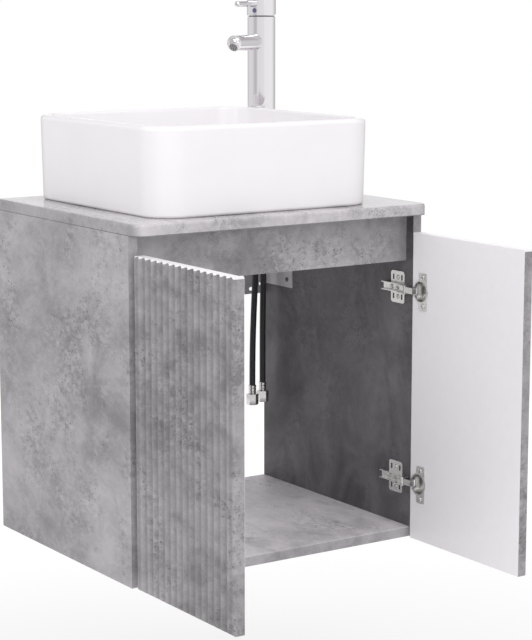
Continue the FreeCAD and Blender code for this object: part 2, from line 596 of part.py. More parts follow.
# Concealed hinges: plate and arm on the side panel, link between arm and cup, cup in the door
EAR_IN = "(link_width / 2 + link_gap)"
EAR_OUT = "(link_width / 2 + link_gap + ear_thick)"
BLOCK_IN = "(width / 2 - board - rail_block)"
WEB_IN = "(width / 2 - board - rail_block - arm_web)"
arm_screws = []
arm_pins = []
cup_pins = []
for level, z in HINGE_Z.items():
    plate = Piece("right_%s_hinge_plate" % level)
    plate.add_box("wings", (SIDE_IN + " - plate_thick", SIDE_IN),
                  around(FRONT + " + plate_line", "plate_depth / 2"),
                  around(z, "plate_height / 2"))
    plate.soften("Fillet", "wing_corners", "plate_corner", lambda edge: runs_along(edge, "x"))
    plate.add_box("block", (BLOCK_IN, SIDE_IN),
                  (FRONT + " + block_front", FRONT + " + arm_length - block_back"),
                  around(z, "block_width / 2"))
    for y in (" - plate_slot_gap / 2", " + plate_slot_gap / 2"):
        for side in (" + plate_screws / 2", " - plate_screws / 2"):
            plate.cut_box("open_slot", (SIDE_IN + " - plate_thick", SIDE_IN),
                          around(FRONT + " + plate_line" + y, "plate_slot_width / 2"),
                          around(z + side, "plate_slot_height / 2"))
    for at in PLATE_SCREWS:
        if at[2].startswith(z):
            plate.cut_cylinder("plate_hole", SCREW_HOLE, "plate_thick", at, "+x")

    arm = Piece("right_%s_hinge_arm" % level)
    arm.add_box("web", (WEB_IN, BLOCK_IN), (FRONT + " + block_front", FRONT + " + arm_length"),
                around(z, EAR_OUT))
    for low, high in ((z + " + " + EAR_IN, z + " + " + EAR_OUT),
                      (z + " - " + EAR_OUT, z + " - " + EAR_IN)):
        arm.add_box("wall", (BLOCK_IN + " - arm_wall", BLOCK_IN),
                    (FRONT + " + block_front", FRONT + " + arm_length"),
                    (low, high))
        arm.add_box("ear", (PIVOT_X + " - ear_nose", BLOCK_IN),
                    (FRONT + " + ear_front", FRONT + " + ear_length"),
                    (low, high))
    arm.soften("Fillet", "ear_round", "ear_round_radius",
               lambda edge: runs_along(edge, "z") and edge.BoundBox.ZLength < VALUE["ear_thick"] + NEAR
               and edge.BoundBox.XMax < VALUE["width"] / 2 - VALUE["board"] - VALUE["arm_pivot_in"])
    arm.cut_cylinder("pin_hole", "pin_radius + pin_play", "2 * " + EAR_OUT,
                     (PIVOT_X, PIVOT_Y, z + " - " + EAR_OUT))
    for back in ("fix_back", "adjust_back"):
        seat = (WEB_IN, FRONT + " + " + back, z)
        arm.cut_cylinder("arm_screw_hole", SCREW_HOLE, "arm_web", seat, "+x")
        plate.cut_cylinder("block_hole", SCREW_HOLE, "arm_web + rail_block", seat, "+x")
        arm_screws.append(screw("arm_screw", seat, "arm_web + rail_block"))
    arm_pins.append(cylinder("arm_pin", "pin_radius", "2 * " + EAR_OUT,
                             (PIVOT_X, PIVOT_Y, z + " - " + EAR_OUT)))

    link = Piece("right_%s_hinge_link" % level)
    link_z = around(z, "link_width / 2")
    link_low = z + " - link_width / 2"
    link.add_box("link_reach", around(PIVOT_X, "link_thick / 2"),
                 (CUP_PIVOT_Y + " - link_thick / 2", PIVOT_Y), link_z)
    link.add_box("link_foot", (PIVOT_X + " - link_thick / 2", CUP_PIVOT_X),
                 around(CUP_PIVOT_Y, "link_thick / 2"), link_z)
    link.add_cylinder("arm_eye", "link_eye", "link_width", (PIVOT_X, PIVOT_Y, link_low))
    link.add_cylinder("cup_eye", "link_eye", "link_width", (CUP_PIVOT_X, CUP_PIVOT_Y, link_low))
    link.cut_cylinder("arm_pin_hole", "pin_radius + pin_play", "link_width", (PIVOT_X, PIVOT_Y, link_low))
    link.cut_cylinder("cup_pin_hole", "pin_radius + pin_play", "link_width",
                      (CUP_PIVOT_X, CUP_PIVOT_Y, link_low))

    LIP_X = DOOR_IN + " - flange_thick"
    flange_blank = box("flange_blank", (LIP_X, DOOR_IN),
                       around(CUP_Y + " - flange_offset", "flange_width / 2"),
                       around(z, "flange_height / 2"))
    flange = round_edges("flange", flange_blank, VALUE["flange_corner"],
                         lambda edge: runs_along(edge, "x"))
    shell = fuse("cup_shell", flange, cylinder("cup_wall_shape", "cup_radius", "cup_depth",
                                               (DOOR_IN, CUP_Y, z), "+x"),
                 cylinder("cup_lip_shape", "cup_radius + cup_lip", "flange_thick", (LIP_X, CUP_Y, z),
                          "+x"))
    room = cylinder("cup_room", "cup_radius - cup_wall", "cup_depth + flange_thick - cup_wall",
                    (LIP_X, CUP_Y, z), "+x")
    lugs = group("lugs", *[box("lug", (DOOR_IN, CUP_PIVOT_X + " + lug_reach"),
                               (CUP_PIVOT_Y + " - lug_reach", CUP_Y + " + cup_radius"), span)
                           for span in ((z + " + " + EAR_IN, z + " + " + EAR_IN + " + lug_thick"),
                                        (z + " - " + EAR_IN + " - lug_thick", z + " - " + EAR_IN))])
    pin_span = "2 * (%s + lug_thick)" % EAR_IN
    pin_at = (CUP_PIVOT_X, CUP_PIVOT_Y, z + " - " + EAR_IN + " - lug_thick")
    screw_ways = [cylinder("cup_screw_way", SCREW_HOLE, "flange_thick", at,
                           "+x") for at in CUP_SCREWS if at[2].startswith(z)]
    ways = group("cup_ways", cylinder("cup_pin_way", "pin_radius + pin_play", pin_span, pin_at),
                 *screw_ways)
    keep(cut("cup", cut("cup_open", shell, cut("cup_hollow", room, lugs)), ways),
         "right_%s_hinge_cup" % level)
    cup_pins.append(cylinder("cup_pin", "pin_radius", pin_span, pin_at))
    for kind, source in (("plate", plate.body), ("arm", arm.body), ("link", link.body),
                         ("cup", pieces[-1])):
        keep(mirror("left_%s_%s" % (level, kind), source), "left_%s_hinge_%s" % (level, kind))

right_plate_screws = group("right_plate_screws",
                           *[screw("plate_screw", at, "plate_thick + screw_bite") for at in PLATE_SCREWS])
keep(group("all_plate_screws", right_plate_screws, mirror("left_plate_screws", right_plate_screws)),
     "plate_screws")
right_arm_screws = group("right_arm_screws", *arm_screws)
keep(group("all_arm_screws", right_arm_screws, mirror("left_arm_screws", right_arm_screws)), "arm_screws")
right_arm_pins = group("right_arm_pins", *arm_pins)
keep(group("all_arm_pins", right_arm_pins, mirror("left_arm_pins", right_arm_pins)), "arm_pins")
right_cup_pins = keep(group("cup_pin_set", *cup_pins), "right_cup_pins")
keep(mirror("left_cup_pin_set", right_cup_pins), "left_cup_pins")


# Basin: a tapered square block with round corners, hollowed, standing on the worktop
def tapered_block(name, low, high, inset, low_inset):
    """A block that narrows downwards: inset from the rim outline at the top and at the foot."""
    block = doc.addObject("Part::Wedge", name)
    bind(block, Ymin=low, Ymax=high, Xmin=low_inset, Zmin=low_inset, X2min=inset, Z2min=inset,
         Xmax="%s - (%s)" % (BASIN_WIDE, low_inset), X2max="%s - (%s)" % (BASIN_WIDE, inset),
         Zmax="%s - (%s)" % (BASIN_DEEP, low_inset), Z2max="%s - (%s)" % (BASIN_DEEP, inset))
    place(block, ("basin_side - width / 2", "-basin_back", DECK),
          FreeCAD.Rotation(FreeCAD.Vector(1, 0, 0), 90))
    return block


def upright(edge):
    return edge.BoundBox.ZLength > VALUE["basin_height"] / 2


def on_rim(edge):
    return edge.BoundBox.ZMin > rim_height - NEAR


def on_outline(edge):
    """Whether an edge reaches the basin's outer outline."""
    bounds = edge.BoundBox
    left = VALUE["basin_side"] - VALUE["width"] / 2
    right = VALUE["width"] / 2 - VALUE["tap_side"] - VALUE["tap_radius"] - VALUE["basin_gap"]
    return (bounds.XMin < left + NEAR or bounds.XMax > right - NEAR
            or bounds.YMax > -VALUE["basin_back"] - NEAR
            or bounds.YMin < VALUE["basin_front"] - VALUE["depth"] + NEAR)


deck = VALUE["underside"] + VALUE["side_height"] + VALUE["worktop_thick"]
bowl_floor = deck + VALUE["basin_floor"]
rim_height = deck + VALUE["basin_height"]
block = tapered_block("basin_block", "0", "basin_height", "0", "basin_taper")
block = round_edges("basin_corners", block, VALUE["basin_corner"], upright)
block = round_edges("basin_foot_round", block, VALUE["basin_foot"],
                    lambda edge: edge.BoundBox.ZMax < deck + NEAR)
bowl = tapered_block("bowl_block", "basin_floor", "basin_height", "basin_wall", "basin_wall + bowl_slope")
bowl = round_edges("bowl_corners", bowl, VALUE["basin_corner"] - VALUE["basin_wall"] / 2, upright)
bowl = round_edges("bowl_floor_round", bowl, VALUE["basin_bowl"],
                   lambda edge: edge.BoundBox.ZMax < bowl_floor + NEAR)
hollowed = cut("basin_hollowed", block, bowl)
lipped = round_edges("basin_lip_round", hollowed, VALUE["basin_lip"],
                     lambda edge: on_rim(edge) and not on_outline(edge))
rimmed = round_edges("basin_rim_round", lipped, VALUE["basin_rim"],
                     lambda edge: on_rim(edge) and on_outline(edge))
drain = cylinder("drain_hole", "drain_radius", "basin_floor", (BASIN_X, BASIN_Y, DECK))
keep(cut("basin_drained", rimmed, drain), "basin")

# Pop-up waste through the basin and the worktop
waste = Piece("waste_flange")
HUB_LOW = FLANGE_Z + " - hub_drop - hub_height"
waste.add_cylinder("tail", "tail_radius", FLANGE_Z + " - " + TAIL_END, (BASIN_X, BASIN_Y, TAIL_END))
waste.add_cylinder("flange_disc", "flange_radius", "flange_rise", (BASIN_X, BASIN_Y, FLANGE_Z))
waste.cut_cylinder("tail_way", "tail_bore", FLANGE_Z + " + flange_rise - " + TAIL_END,
                   (BASIN_X, BASIN_Y, TAIL_END))
waste.add_box("bar", around(BASIN_X, "(tail_bore + tail_radius) / 2"), around(BASIN_Y, "bar_thick / 2"),
              (HUB_LOW, HUB_LOW + " + hub_height"))
waste.add_box("cross_bar", around(BASIN_X, "bar_thick / 2"),
              around(BASIN_Y, "(tail_bore + tail_radius) / 2"),
              (HUB_LOW, HUB_LOW + " + hub_height"))
waste.add_cylinder("hub", "hub_radius", "hub_height", (BASIN_X, BASIN_Y, HUB_LOW))
waste.cut_cylinder("stem_way", "plug_stem + pin_play", "hub_height", (BASIN_X, BASIN_Y, HUB_LOW))

plug = Piece("waste_plug")
PLUG_LOW = FLANGE_Z + " + flange_rise + plug_gap"
STEM_LOW = FLANGE_Z + " - hub_drop - hub_height - stem_tail"
plug.add_cylinder("plug_disc", "plug_radius", "plug_thick", (BASIN_X, BASIN_Y, PLUG_LOW))
plug_top = bowl_floor + sum(VALUE[word] for word in ("seal_thick", "flange_rise", "plug_gap", "plug_thick"))
plug.soften("Fillet", "plug_round", "plug_edge", lambda edge: edge.BoundBox.ZMin > plug_top - NEAR)
plug.add_cylinder("plug_stem_rod", "plug_stem", PLUG_LOW + " - (" + STEM_LOW + ")",
                  (BASIN_X, BASIN_Y, STEM_LOW))


def ring(name, radius, hole, length, at, along="+z"):
    return cut(name, cylinder(name + "_disc", radius, length, at, along),
               cylinder(name + "_way", hole, length, at, along))


TAIL_FIT = "tail_radius + play"
keep(group("seal_pair", ring("upper_seal", "flange_radius - play", TAIL_FIT, "seal_thick",
                             (BASIN_X, BASIN_Y, BASIN_FLOOR)),
           ring("lower_seal", "nut_radius", TAIL_FIT, "washer_thick",
                (BASIN_X, BASIN_Y, DECK + " - washer_thick"))),
     "waste_seals")
NUT_LOW = DECK + " - washer_thick - nut_height"
waste_nut = cut("waste_nut_shape", hexagon("waste_nut_blank", "nut_radius", "nut_height",
                                           (BASIN_X, BASIN_Y, NUT_LOW)),
                cylinder("waste_nut_way", TAIL_FIT, "nut_height", (BASIN_X, BASIN_Y, NUT_LOW)))
keep(waste_nut, "waste_nut")

# Bottle trap: body with neck and outlet stub, screwed cup, union nuts, tube and wall rosette
trap = Piece("trap_body")
STUB_FIT = "outlet_radius + play"
trap.add_cylinder("trap_barrel", "trap_radius", "trap_height", (BASIN_X, BASIN_Y, TRAP_LOW))
trap.add_cylinder("trap_neck_tube", "trap_neck", "neck_height", (BASIN_X, BASIN_Y, TRAP_TOP))
trap.add_cylinder("trap_stub", "outlet_radius + stub_wall", "stub_reach", (BASIN_X, BASIN_Y, OUTLET_Z),
                  "+y")
trap.cut_cylinder("trap_room", "trap_radius - trap_wall", "trap_height - trap_wall",
                  (BASIN_X, BASIN_Y, TRAP_LOW))
trap.cut_cylinder("stub_way", "outlet_radius - outlet_wall", "stub_reach", (BASIN_X, BASIN_Y, OUTLET_Z),
                  "+y")
trap.cut_cylinder("stub_seat", STUB_FIT, "stub_lap",
                  (BASIN_X, BASIN_Y + " + stub_reach - stub_lap", OUTLET_Z), "+y")
DIP_LOW = TRAP_LOW + " - dip_drop"
trap.add_cylinder("dip_tube", "tail_bore + dip_wall", "trap_height + dip_drop",
                  (BASIN_X, BASIN_Y, DIP_LOW))
trap.cut_cylinder("neck_way", "tail_bore", "trap_height + dip_drop + neck_height",
                  (BASIN_X, BASIN_Y, DIP_LOW))
trap.cut_cylinder("neck_seat", TAIL_FIT, "neck_lap", (BASIN_X, BASIN_Y, TAIL_END))

trap_cup = Piece("trap_cup")
trap_low = deck - sum(VALUE[word] for word in ("tail_length", "neck_height", "trap_height"))
CUP_LOW = TRAP_LOW + " + trap_cup_lap - trap_cup_height"
trap_cup.add_cylinder("cup_barrel", "trap_radius + play + trap_wall", "trap_cup_height",
                      (BASIN_X, BASIN_Y, CUP_LOW))
trap_cup.soften("Fillet", "cup_round", "trap_cup_round",
                lambda edge: edge.BoundBox.ZMax < trap_low)
trap_cup.cut_cylinder("cup_inside", "trap_radius + play", "trap_cup_height - 2 * trap_wall",
                      (BASIN_X, BASIN_Y, CUP_LOW + " + 2 * trap_wall"))

keep(group("union_nuts",
           ring("inlet_union", "trap_neck + play + union_thick", "trap_neck + play", "union_height",
                (BASIN_X, BASIN_Y, NECK_TOP + " - union_height")),
           ring("outlet_union", "outlet_radius + stub_wall + play + union_thick",
                "outlet_radius + stub_wall + play",
                "union_height", (BASIN_X, BASIN_Y + " + stub_reach - union_height", OUTLET_Z), "+y")),
     "trap_nuts")

tube = Piece("outlet_tube")
TUBE_START = "((basin_front - basin_back - depth) / 2 + stub_reach - stub_lap)"
tube.add_cylinder("tube_outside", "outlet_radius", "outlet_end - " + TUBE_START,
                  (BASIN_X, TUBE_START, OUTLET_Z), "+y")
tube.add_cylinder("stop_bead", "stop_radius", "stop_thick", (BASIN_X, "0", OUTLET_Z), "+y")
tube.cut_cylinder("tube_inside", "outlet_radius - outlet_wall", "outlet_end - " + TUBE_START,
                  (BASIN_X, TUBE_START, OUTLET_Z), "+y")

rosette = Piece("wall_rosette")
rosette.add_cone("rosette_dome", "rosette_radius", "rosette_radius - rosette_thick", "rosette_thick",
                 (BASIN_X, "0", OUTLET_Z), "-y")
rosette.cut_cylinder("rosette_way", STUB_FIT, "rosette_thick", (BASIN_X, "-rosette_thick", OUTLET_Z),
                     "+y")

# Mixer tap at the right rear corner of the worktop
TAP = (TAP_X, TAP_Y)
BORE_TOP = TAP_LOW + " + tap_base_depth"
STUD_Y = "(-tap_back - stud_front)"
tap = Piece("tap_body")
tap.add_cylinder("tap_column", "tap_radius", "tap_height - tap_gasket_thick", TAP + (TAP_LOW,))
tap.cut_cylinder("cartridge_bore", "cartridge_radius + play", "cartridge_height",
                 TAP + (TAP_TOP + " - cartridge_height",))
tap.cut_cylinder("base_bore", "tap_base_bore", "tap_base_depth", TAP + (TAP_LOW,))
tap.cut_cylinder("stud_bore", "stud_radius + play", "stud_bite", (TAP_X, STUD_Y, BORE_TOP))

cartridge = Piece("cartridge")
cartridge.add_cylinder("cartridge_case", "cartridge_radius", "cartridge_height",
                       TAP + (TAP_TOP + " - cartridge_height",))
cartridge.add_cylinder("collar", "collar_radius", "collar_height", TAP + (TAP_TOP,))
cartridge.cut_cylinder("stem_bore", "stem_radius + pin_play", "stem_depth + seat_gap + collar_height",
                       TAP + (TAP_TOP + " - stem_depth - seat_gap",))

stem = Piece("cartridge_stem")
LIFT_Z = CAP_LOW + " + lift_rise"
stem.add_cylinder("stem_rod", "stem_radius", "stem_depth + stem_rise",
                  ("0", "0", TAP_TOP + " - stem_depth"))
stem.cut_cylinder("lift_way", "lift_pin + pin_play", "2 * stem_radius", ("0", "-stem_radius", LIFT_Z),
                  "+y")
stem.stand((TAP_X, TAP_Y, "0"), "spout_angle")

handle = Piece("tap_handle")
handle.add_cylinder("cap", "handle_radius", "handle_height", ("0", "0", CAP_LOW))
cap_top = deck + VALUE["tap_height"] + VALUE["handle_gap"] + VALUE["handle_height"]
handle.soften("Fillet", "cap_round", "handle_edge", lambda edge: edge.BoundBox.ZMin > cap_top - NEAR)
handle.cut_cylinder("cap_hollow", "handle_hollow", "handle_height - handle_roof", ("0", "0", CAP_LOW))
relief = size_box(handle.feature("SubtractiveBox", "back_relief"), ("0", "2 * handle_radius"),
                  ("-2 * handle_radius", "2 * handle_radius"), ("0", "handle_radius"))
place(relief, ("handle_radius * sin(lift_relief)", "-2 * handle_radius",
               CAP_LOW + " - handle_radius * cos(lift_relief)"),
      FreeCAD.Rotation(FreeCAD.Vector(0, 1, 0), -VALUE["lift_relief"]))
handle.add_cylinder("lift_pin_rod", "lift_pin", "2 * (handle_hollow + lift_seat)",
                    ("0", "-(handle_hollow + lift_seat)", LIFT_Z), "+y")
LEVER_SEAT = "(handle_radius - lever_seat)"
LEVER_Z = CAP_LOW + " + lever_rise"
handle.cut_cylinder("lever_socket", "lever_radius + play", "2 * lever_seat",
                    ("-" + LEVER_SEAT, "0", LEVER_Z), "-x")
handle.stand((TAP_X, TAP_Y, "0"), "spout_angle")

lever = Piece("tap_lever")
lever.add_cylinder("lever_rod", "lever_radius", "lever_reach - " + LEVER_SEAT,
                   ("-" + LEVER_SEAT, "0", LEVER_Z), "-x")
lever.soften("Fillet", "lever_round", "lever_tip",
             lambda edge: edge.BoundBox.XMax < -VALUE["lever_reach"] + NEAR)
lever.stand((TAP_X, TAP_Y, "0"), "spout_angle")

# Spout: a round tube with a domed end, cut off aslant below for the aerator
spout = Piece("tap_spout")
tilt = FreeCAD.Rotation(FreeCAD.Vector(0, 1, 0), -(90 + VALUE["aerator_tilt"]))
AERATOR_X = "(aerator_back - spout_reach)"
AERATOR_Z = "(underside + side_height + worktop_thick + spout_rise - aerator_drop)"


def on_aerator(distance):
    """A place on the aerator's axis, measured outwards from the spout's middle."""
    return (AERATOR_X + " - (%s) * cos(aerator_tilt)" % distance, "0",
            AERATOR_Z + " - (%s) * sin(aerator_tilt)" % distance)


spout.add_cylinder("spout_tube", "spout_radius", "spout_reach", ("0", "0", SPOUT_Z), "-x")
spout.soften("Fillet", "spout_dome", "spout_round",
             lambda edge: edge.BoundBox.XMax < -VALUE["spout_reach"] + NEAR)
spout.cut_cylinder("saddle", "tap_radius + play", "4 * spout_radius",
                   ("0", "0", SPOUT_Z + " - 2 * spout_radius"))
spout.cut_cylinder("slant", "2 * spout_radius", "2 * spout_radius", on_aerator("aerator_out"), tilt)
spout.cut_cylinder("aerator_seat", "aerator_radius + play", "aerator_depth",
                   on_aerator("aerator_out - aerator_depth"), tilt)
spout.stand((TAP_X, TAP_Y, "0"), "spout_angle")

aerator = Piece("aerator")
aerator.add_cylinder("aerator_case", "aerator_radius", "aerator_depth + aerator_proud",
                     on_aerator("aerator_out - aerator_depth"), tilt)
aerator.stand((TAP_X, TAP_Y, "0"), "spout_angle")

keep(ring("tap_gasket_ring", "tap_radius - play", "tap_hole", "tap_gasket_thick", TAP + (DECK,)),
     "tap_gasket")
STUD_LOW = "(underside + side_height - stud_drop)"
keep(cylinder("stud_rod", "stud_radius", BORE_TOP + " + stud_bite - " + STUD_LOW,
              (TAP_X, STUD_Y, STUD_LOW)), "tap_stud")

washer = Piece("tap_washer")
WASHER_LOW = "(underside + side_height - clamp_thick)"
NOTCH_HALF = "(hose_half_gap + hose_radius + clamp_room)"
washer.add_cylinder("washer_disc", "clamp_radius", "clamp_thick", TAP + (WASHER_LOW,))
washer.cut_box("washer_notch", around(TAP_X, NOTCH_HALF),
               (TAP_Y + " + hose_back - hose_radius - clamp_room",
                TAP_Y + " + clamp_radius"), (WASHER_LOW, TOP))
washer.cut_cylinder("washer_hole", "stud_radius + play", "clamp_thick", (TAP_X, STUD_Y, WASHER_LOW))
CLAMP_NUT_LOW = "(underside + side_height - clamp_thick - clamp_nut_height)"
keep(cut("tap_nut_shape", hexagon("tap_nut_blank", "clamp_nut_radius", "clamp_nut_height",
                                  (TAP_X, STUD_Y, CLAMP_NUT_LOW)),
         cylinder("tap_nut_way", "stud_radius + play", "clamp_nut_height",
                  (TAP_X, STUD_Y, CLAMP_NUT_LOW))), "tap_nut")

# Hoses: they hang from the tap's base, each route a few points joined by wide arcs
HOSE_ROUTES = {
    "cold_hose": (-1, [(0, 0, 0), (0, 0, -62), (-3, -2, -150), (-9, -4, -238), (-15, -8, -318),
                       (-15, -8, -392)]),
    "hot_hose": (1, [(0, 0, 0), (0, 0, -66), (-1, -1, -156), (-3, -1, -246), (-4, -2, -322),
                     (-4, -2, -390)]),
}
hose_start = FreeCAD.Vector(VALUE["width"] / 2 - VALUE["tap_side"],
                            VALUE["hose_back"] - VALUE["tap_back"],
                            deck + VALUE["tap_gasket_thick"] + VALUE["tap_base_depth"])


def hose_path(points):
    """Straight runs joined by arcs as wide as the runs allow, with the arcs' radii."""
    edges = []
    radii = []
    here = points[0]
    for before, corner, after in zip(points, points[1:], points[2:]):
        back = (before - corner).normalize()
        on = (after - corner).normalize()
        reach = 0.45 * min((before - corner).Length, (after - corner).Length)
        half_turn = (math.pi - back.getAngle(on)) / 2
        radii.append(reach / math.tan(half_turn))
        start = corner + back * reach
        end = corner + on * reach
        inward = (back + on).normalize()
        middle = corner + inward * (radii[-1] / math.cos(half_turn) - radii[-1])
        edges.append(Part.LineSegment(here, start).toShape())
        edges.append(Part.Arc(start, middle, end).toShape())
        here = end
    edges.append(Part.LineSegment(here, points[-1]).toShape())
    return Part.Wire(edges), radii


nuts = []
for label, (side, offsets) in HOSE_ROUTES.items():
    sideways = FreeCAD.Vector(side * VALUE["hose_half_gap"], 0, 0)
    points = [hose_start + sideways + FreeCAD.Vector(*offset) for offset in offsets]
    path, radii = hose_path(points)
    section = Part.Wire(Part.Circle(points[0], FreeCAD.Vector(0, 0, -1), VALUE["hose_radius"]).toShape())
    hose = keep(doc.addObject("Part::Feature", label), label)
    hose.Shape = path.makePipeShell([section], True, False)
    volume = math.pi * VALUE["hose_radius"] ** 2 * path.Length
    print(label, "length %.1f, tightest arc %.0f, volume %.4f of section times length"
          % (path.Length, min(radii), hose.Shape.Volume / volume))
    end = ["%.6f" % value for value in points[-1]]
    low = end[2] + " - hose_nut_height"
    blank = hexagon(label + "_nut_blank", "hose_nut_radius", "hose_nut_height", (end[0], end[1], low))
    way = cylinder(label + "_nut_way", "hose_nut_bore", "hose_nut_depth", (end[0], end[1], low))
    nuts.append(cut(label + "_nut", blank, way))
keep(group("hose_nut_pair", *nuts), "hose_nuts")

doc.recompute()
for item in doc.Objects:
    if "Invalid" in item.State or "Error" in item.State:
        raise RuntimeError("%s (%s) did not build: %s" % (item.Label, item.Name, item.State))
labels = [item.Label for item in pieces]
if len(set(labels)) != len(labels):
    raise RuntimeError("two pieces share a label")
for item in pieces:
    if item.Shape.isNull() or not item.Shape.isValid() or not item.Shape.Solids:
        raise RuntimeError("%s is not a sound solid" % item.Label)

os.makedirs("parts", exist_ok=True)
for item in pieces:
    item.Shape.exportStep(os.path.join("parts", item.Label + ".step"))
print(len(pieces), "pieces,", sum(len(item.Shape.Solids) for item in pieces), "solids")
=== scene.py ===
# %% [markdown]
# # A wall-hung vanity unit
# The unit is a small cabinet that hangs on two wall brackets, with a concrete-look foil on its boards,
# two fluted doors on concealed hinges, a white basin that stands on the worktop and a tall chrome tap.
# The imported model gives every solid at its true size. It comes in first, and what follows only dresses it.

# %% Load the frame
import json
import math

import bmesh
import bpy
from mathutils import Matrix, Vector


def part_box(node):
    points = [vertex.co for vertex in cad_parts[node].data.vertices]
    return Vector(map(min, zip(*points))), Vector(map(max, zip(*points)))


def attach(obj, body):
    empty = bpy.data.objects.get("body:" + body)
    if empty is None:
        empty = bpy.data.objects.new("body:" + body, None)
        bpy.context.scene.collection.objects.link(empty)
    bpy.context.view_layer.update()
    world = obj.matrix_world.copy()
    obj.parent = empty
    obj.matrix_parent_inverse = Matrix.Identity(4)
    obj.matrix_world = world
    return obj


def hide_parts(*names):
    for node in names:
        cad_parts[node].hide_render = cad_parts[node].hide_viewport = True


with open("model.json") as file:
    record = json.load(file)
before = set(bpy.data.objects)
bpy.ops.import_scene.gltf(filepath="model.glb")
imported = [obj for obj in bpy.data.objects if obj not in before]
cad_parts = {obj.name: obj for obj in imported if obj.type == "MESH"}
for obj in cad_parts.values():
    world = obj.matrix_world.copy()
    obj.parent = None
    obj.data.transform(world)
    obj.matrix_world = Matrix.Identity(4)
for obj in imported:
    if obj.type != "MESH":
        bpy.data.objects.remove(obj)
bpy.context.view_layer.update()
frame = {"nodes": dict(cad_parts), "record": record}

# %% [markdown]
# ## The camera
# A picture of a product is often taken from far away with a long lens, so that its edges stay nearly
# parallel. The place, the turn and the lens were found by matching the corners of the boards with the
# picture. The camera has no shift, so it can go round the object without the frame sliding off.

# %% Camera
CAMERA_PLACE = (-1.728, -2.972, 0.5349)
CAMERA_DOWN, CAMERA_TURN = math.radians(9.451), math.radians(33.821)
FOCAL_LENGTH, SENSOR_WIDTH = 111.69, 36
lens = bpy.data.cameras.new("camera")
lens.lens = FOCAL_LENGTH
lens.sensor_width = SENSOR_WIDTH
camera = bpy.data.objects.new("camera", lens)
camera.location = CAMERA_PLACE
camera.rotation_euler = (math.radians(90) - CAMERA_DOWN, 0, -CAMERA_TURN)
bpy.context.collection.objects.link(camera)
bpy.context.scene.camera = camera
print("camera at", [round(number, 3) for number in camera.location])

# %% [markdown]
# ## The hoses' lines
# Two flexible hoses hang from the tap's foot to the valves. A hose is a line with a thickness, so a NURBS
# curve with a round bevel is the natural shape. Its control points are the points of the hose's route.
# The order and the end points are set after the points are there, because a spline with no points
# can't take a higher order. The fittings come later, when the helpers for turned pieces are there.

# %% Hoses
HOSE_RADIUS = 0.0055
COLD_ROUTE = [(0.2185, -0.037, 0.209), (0.2185, -0.037, 0.147), (0.2155, -0.039, 0.059),
              (0.2095, -0.041, -0.029), (0.2035, -0.045, -0.109), (0.2035, -0.045, -0.183)]
HOT_ROUTE = [(0.2335, -0.037, 0.209), (0.2335, -0.037, 0.143), (0.2325, -0.038, 0.053),
             (0.2305, -0.038, -0.037), (0.2295, -0.039, -0.113), (0.2295, -0.039, -0.181)]


def hang_hose(name, route):
    curve = bpy.data.curves.new(name, "CURVE")
    curve.dimensions = "3D"
    spline = curve.splines.new("NURBS")
    spline.points.add(len(route) - 1)
    for point, place in zip(spline.points, route):
        point.co = (*place, 1)
    spline.order_u = 3
    spline.use_endpoint_u = True
    spline.resolution_u = 16
    curve.bevel_depth = HOSE_RADIUS
    curve.bevel_resolution = 6
    curve.use_fill_caps = True
    hose = bpy.data.objects.new(name, curve)
    bpy.context.collection.objects.link(hose)
    return hose


cold_line = hang_hose("cold_hose_line", COLD_ROUTE)
hot_line = hang_hose("hot_hose_line", HOT_ROUTE)
print("hoses hang from", COLD_ROUTE[0][2], "to", COLD_ROUTE[-1][2])

# %% [markdown]
# ## Building a finish
# Each finish is a node material on Object coordinates. Every piece sits at the origin with its place in
# its mesh, so those coordinates are metres, and a noise of scale 10 has patches about 100 mm wide.
# A few short helpers keep the node trees readable: one starts a finish, one does a sum, one spreads a range.
# They only ask for a node tree, so the studio's world can use them too.


# %% Helpers for nodes
def add_node(finish, kind, **settings):
    node = finish.node_tree.nodes.new(kind)
    for name, value in settings.items():
        setattr(node, name, value)
    return node


def join(finish, source, target):
    finish.node_tree.links.new(source, target)


def fill(finish, socket, value):
    if isinstance(value, (int, float, tuple)):
        socket.default_value = value
    else:
        join(finish, value, socket)


def start_finish(name, **sockets):
    finish = bpy.data.materials.new(name)
    finish.use_nodes = True
    shader = finish.node_tree.nodes["Principled BSDF"]
    for socket, value in sockets.items():
        shader.inputs[socket.replace("_", " ")].default_value = value
    place = add_node(finish, "ShaderNodeTexCoord").outputs["Object"]
    return finish, shader, place


def sum_up(finish, kind, first, second):
    node = add_node(finish, "ShaderNodeMath", operation=kind)
    fill(finish, node.inputs[0], first)
    fill(finish, node.inputs[1], second)
    return node.outputs[0]


def spread(finish, value, low, high, to_low, to_high):
    node = add_node(finish, "ShaderNodeMapRange")
    limits = {"From Min": low, "From Max": high, "To Min": to_low, "To Max": to_high}
    for socket, number in limits.items():
        node.inputs[socket].default_value = number
    join(finish, value, node.inputs["Value"])
    return node.outputs["Result"]


def split_axes(finish, place):
    axes = add_node(finish, "ShaderNodeSeparateXYZ")
    join(finish, place, axes.inputs[0])
    return axes.outputs


print("helpers for nodes are ready")

# %% [markdown]
# ## Patterns, colours and bumps
# A noise seldom leaves the middle of its range. So `spread_noise` lays two values, and `tint_noise` two
# colours, over that middle only. A bump turns the same noise into small hollows that catch the light, which
# costs no mesh.

# %% Helpers for patterns
NOISE_RANGE = (0.3, 0.7)


def stretch(finish, place, scale, move=(0, 0, 0)):
    mapping = add_node(finish, "ShaderNodeMapping")
    mapping.inputs["Location"].default_value = move
    mapping.inputs["Scale"].default_value = scale
    join(finish, place, mapping.inputs["Vector"])
    return mapping.outputs["Vector"]


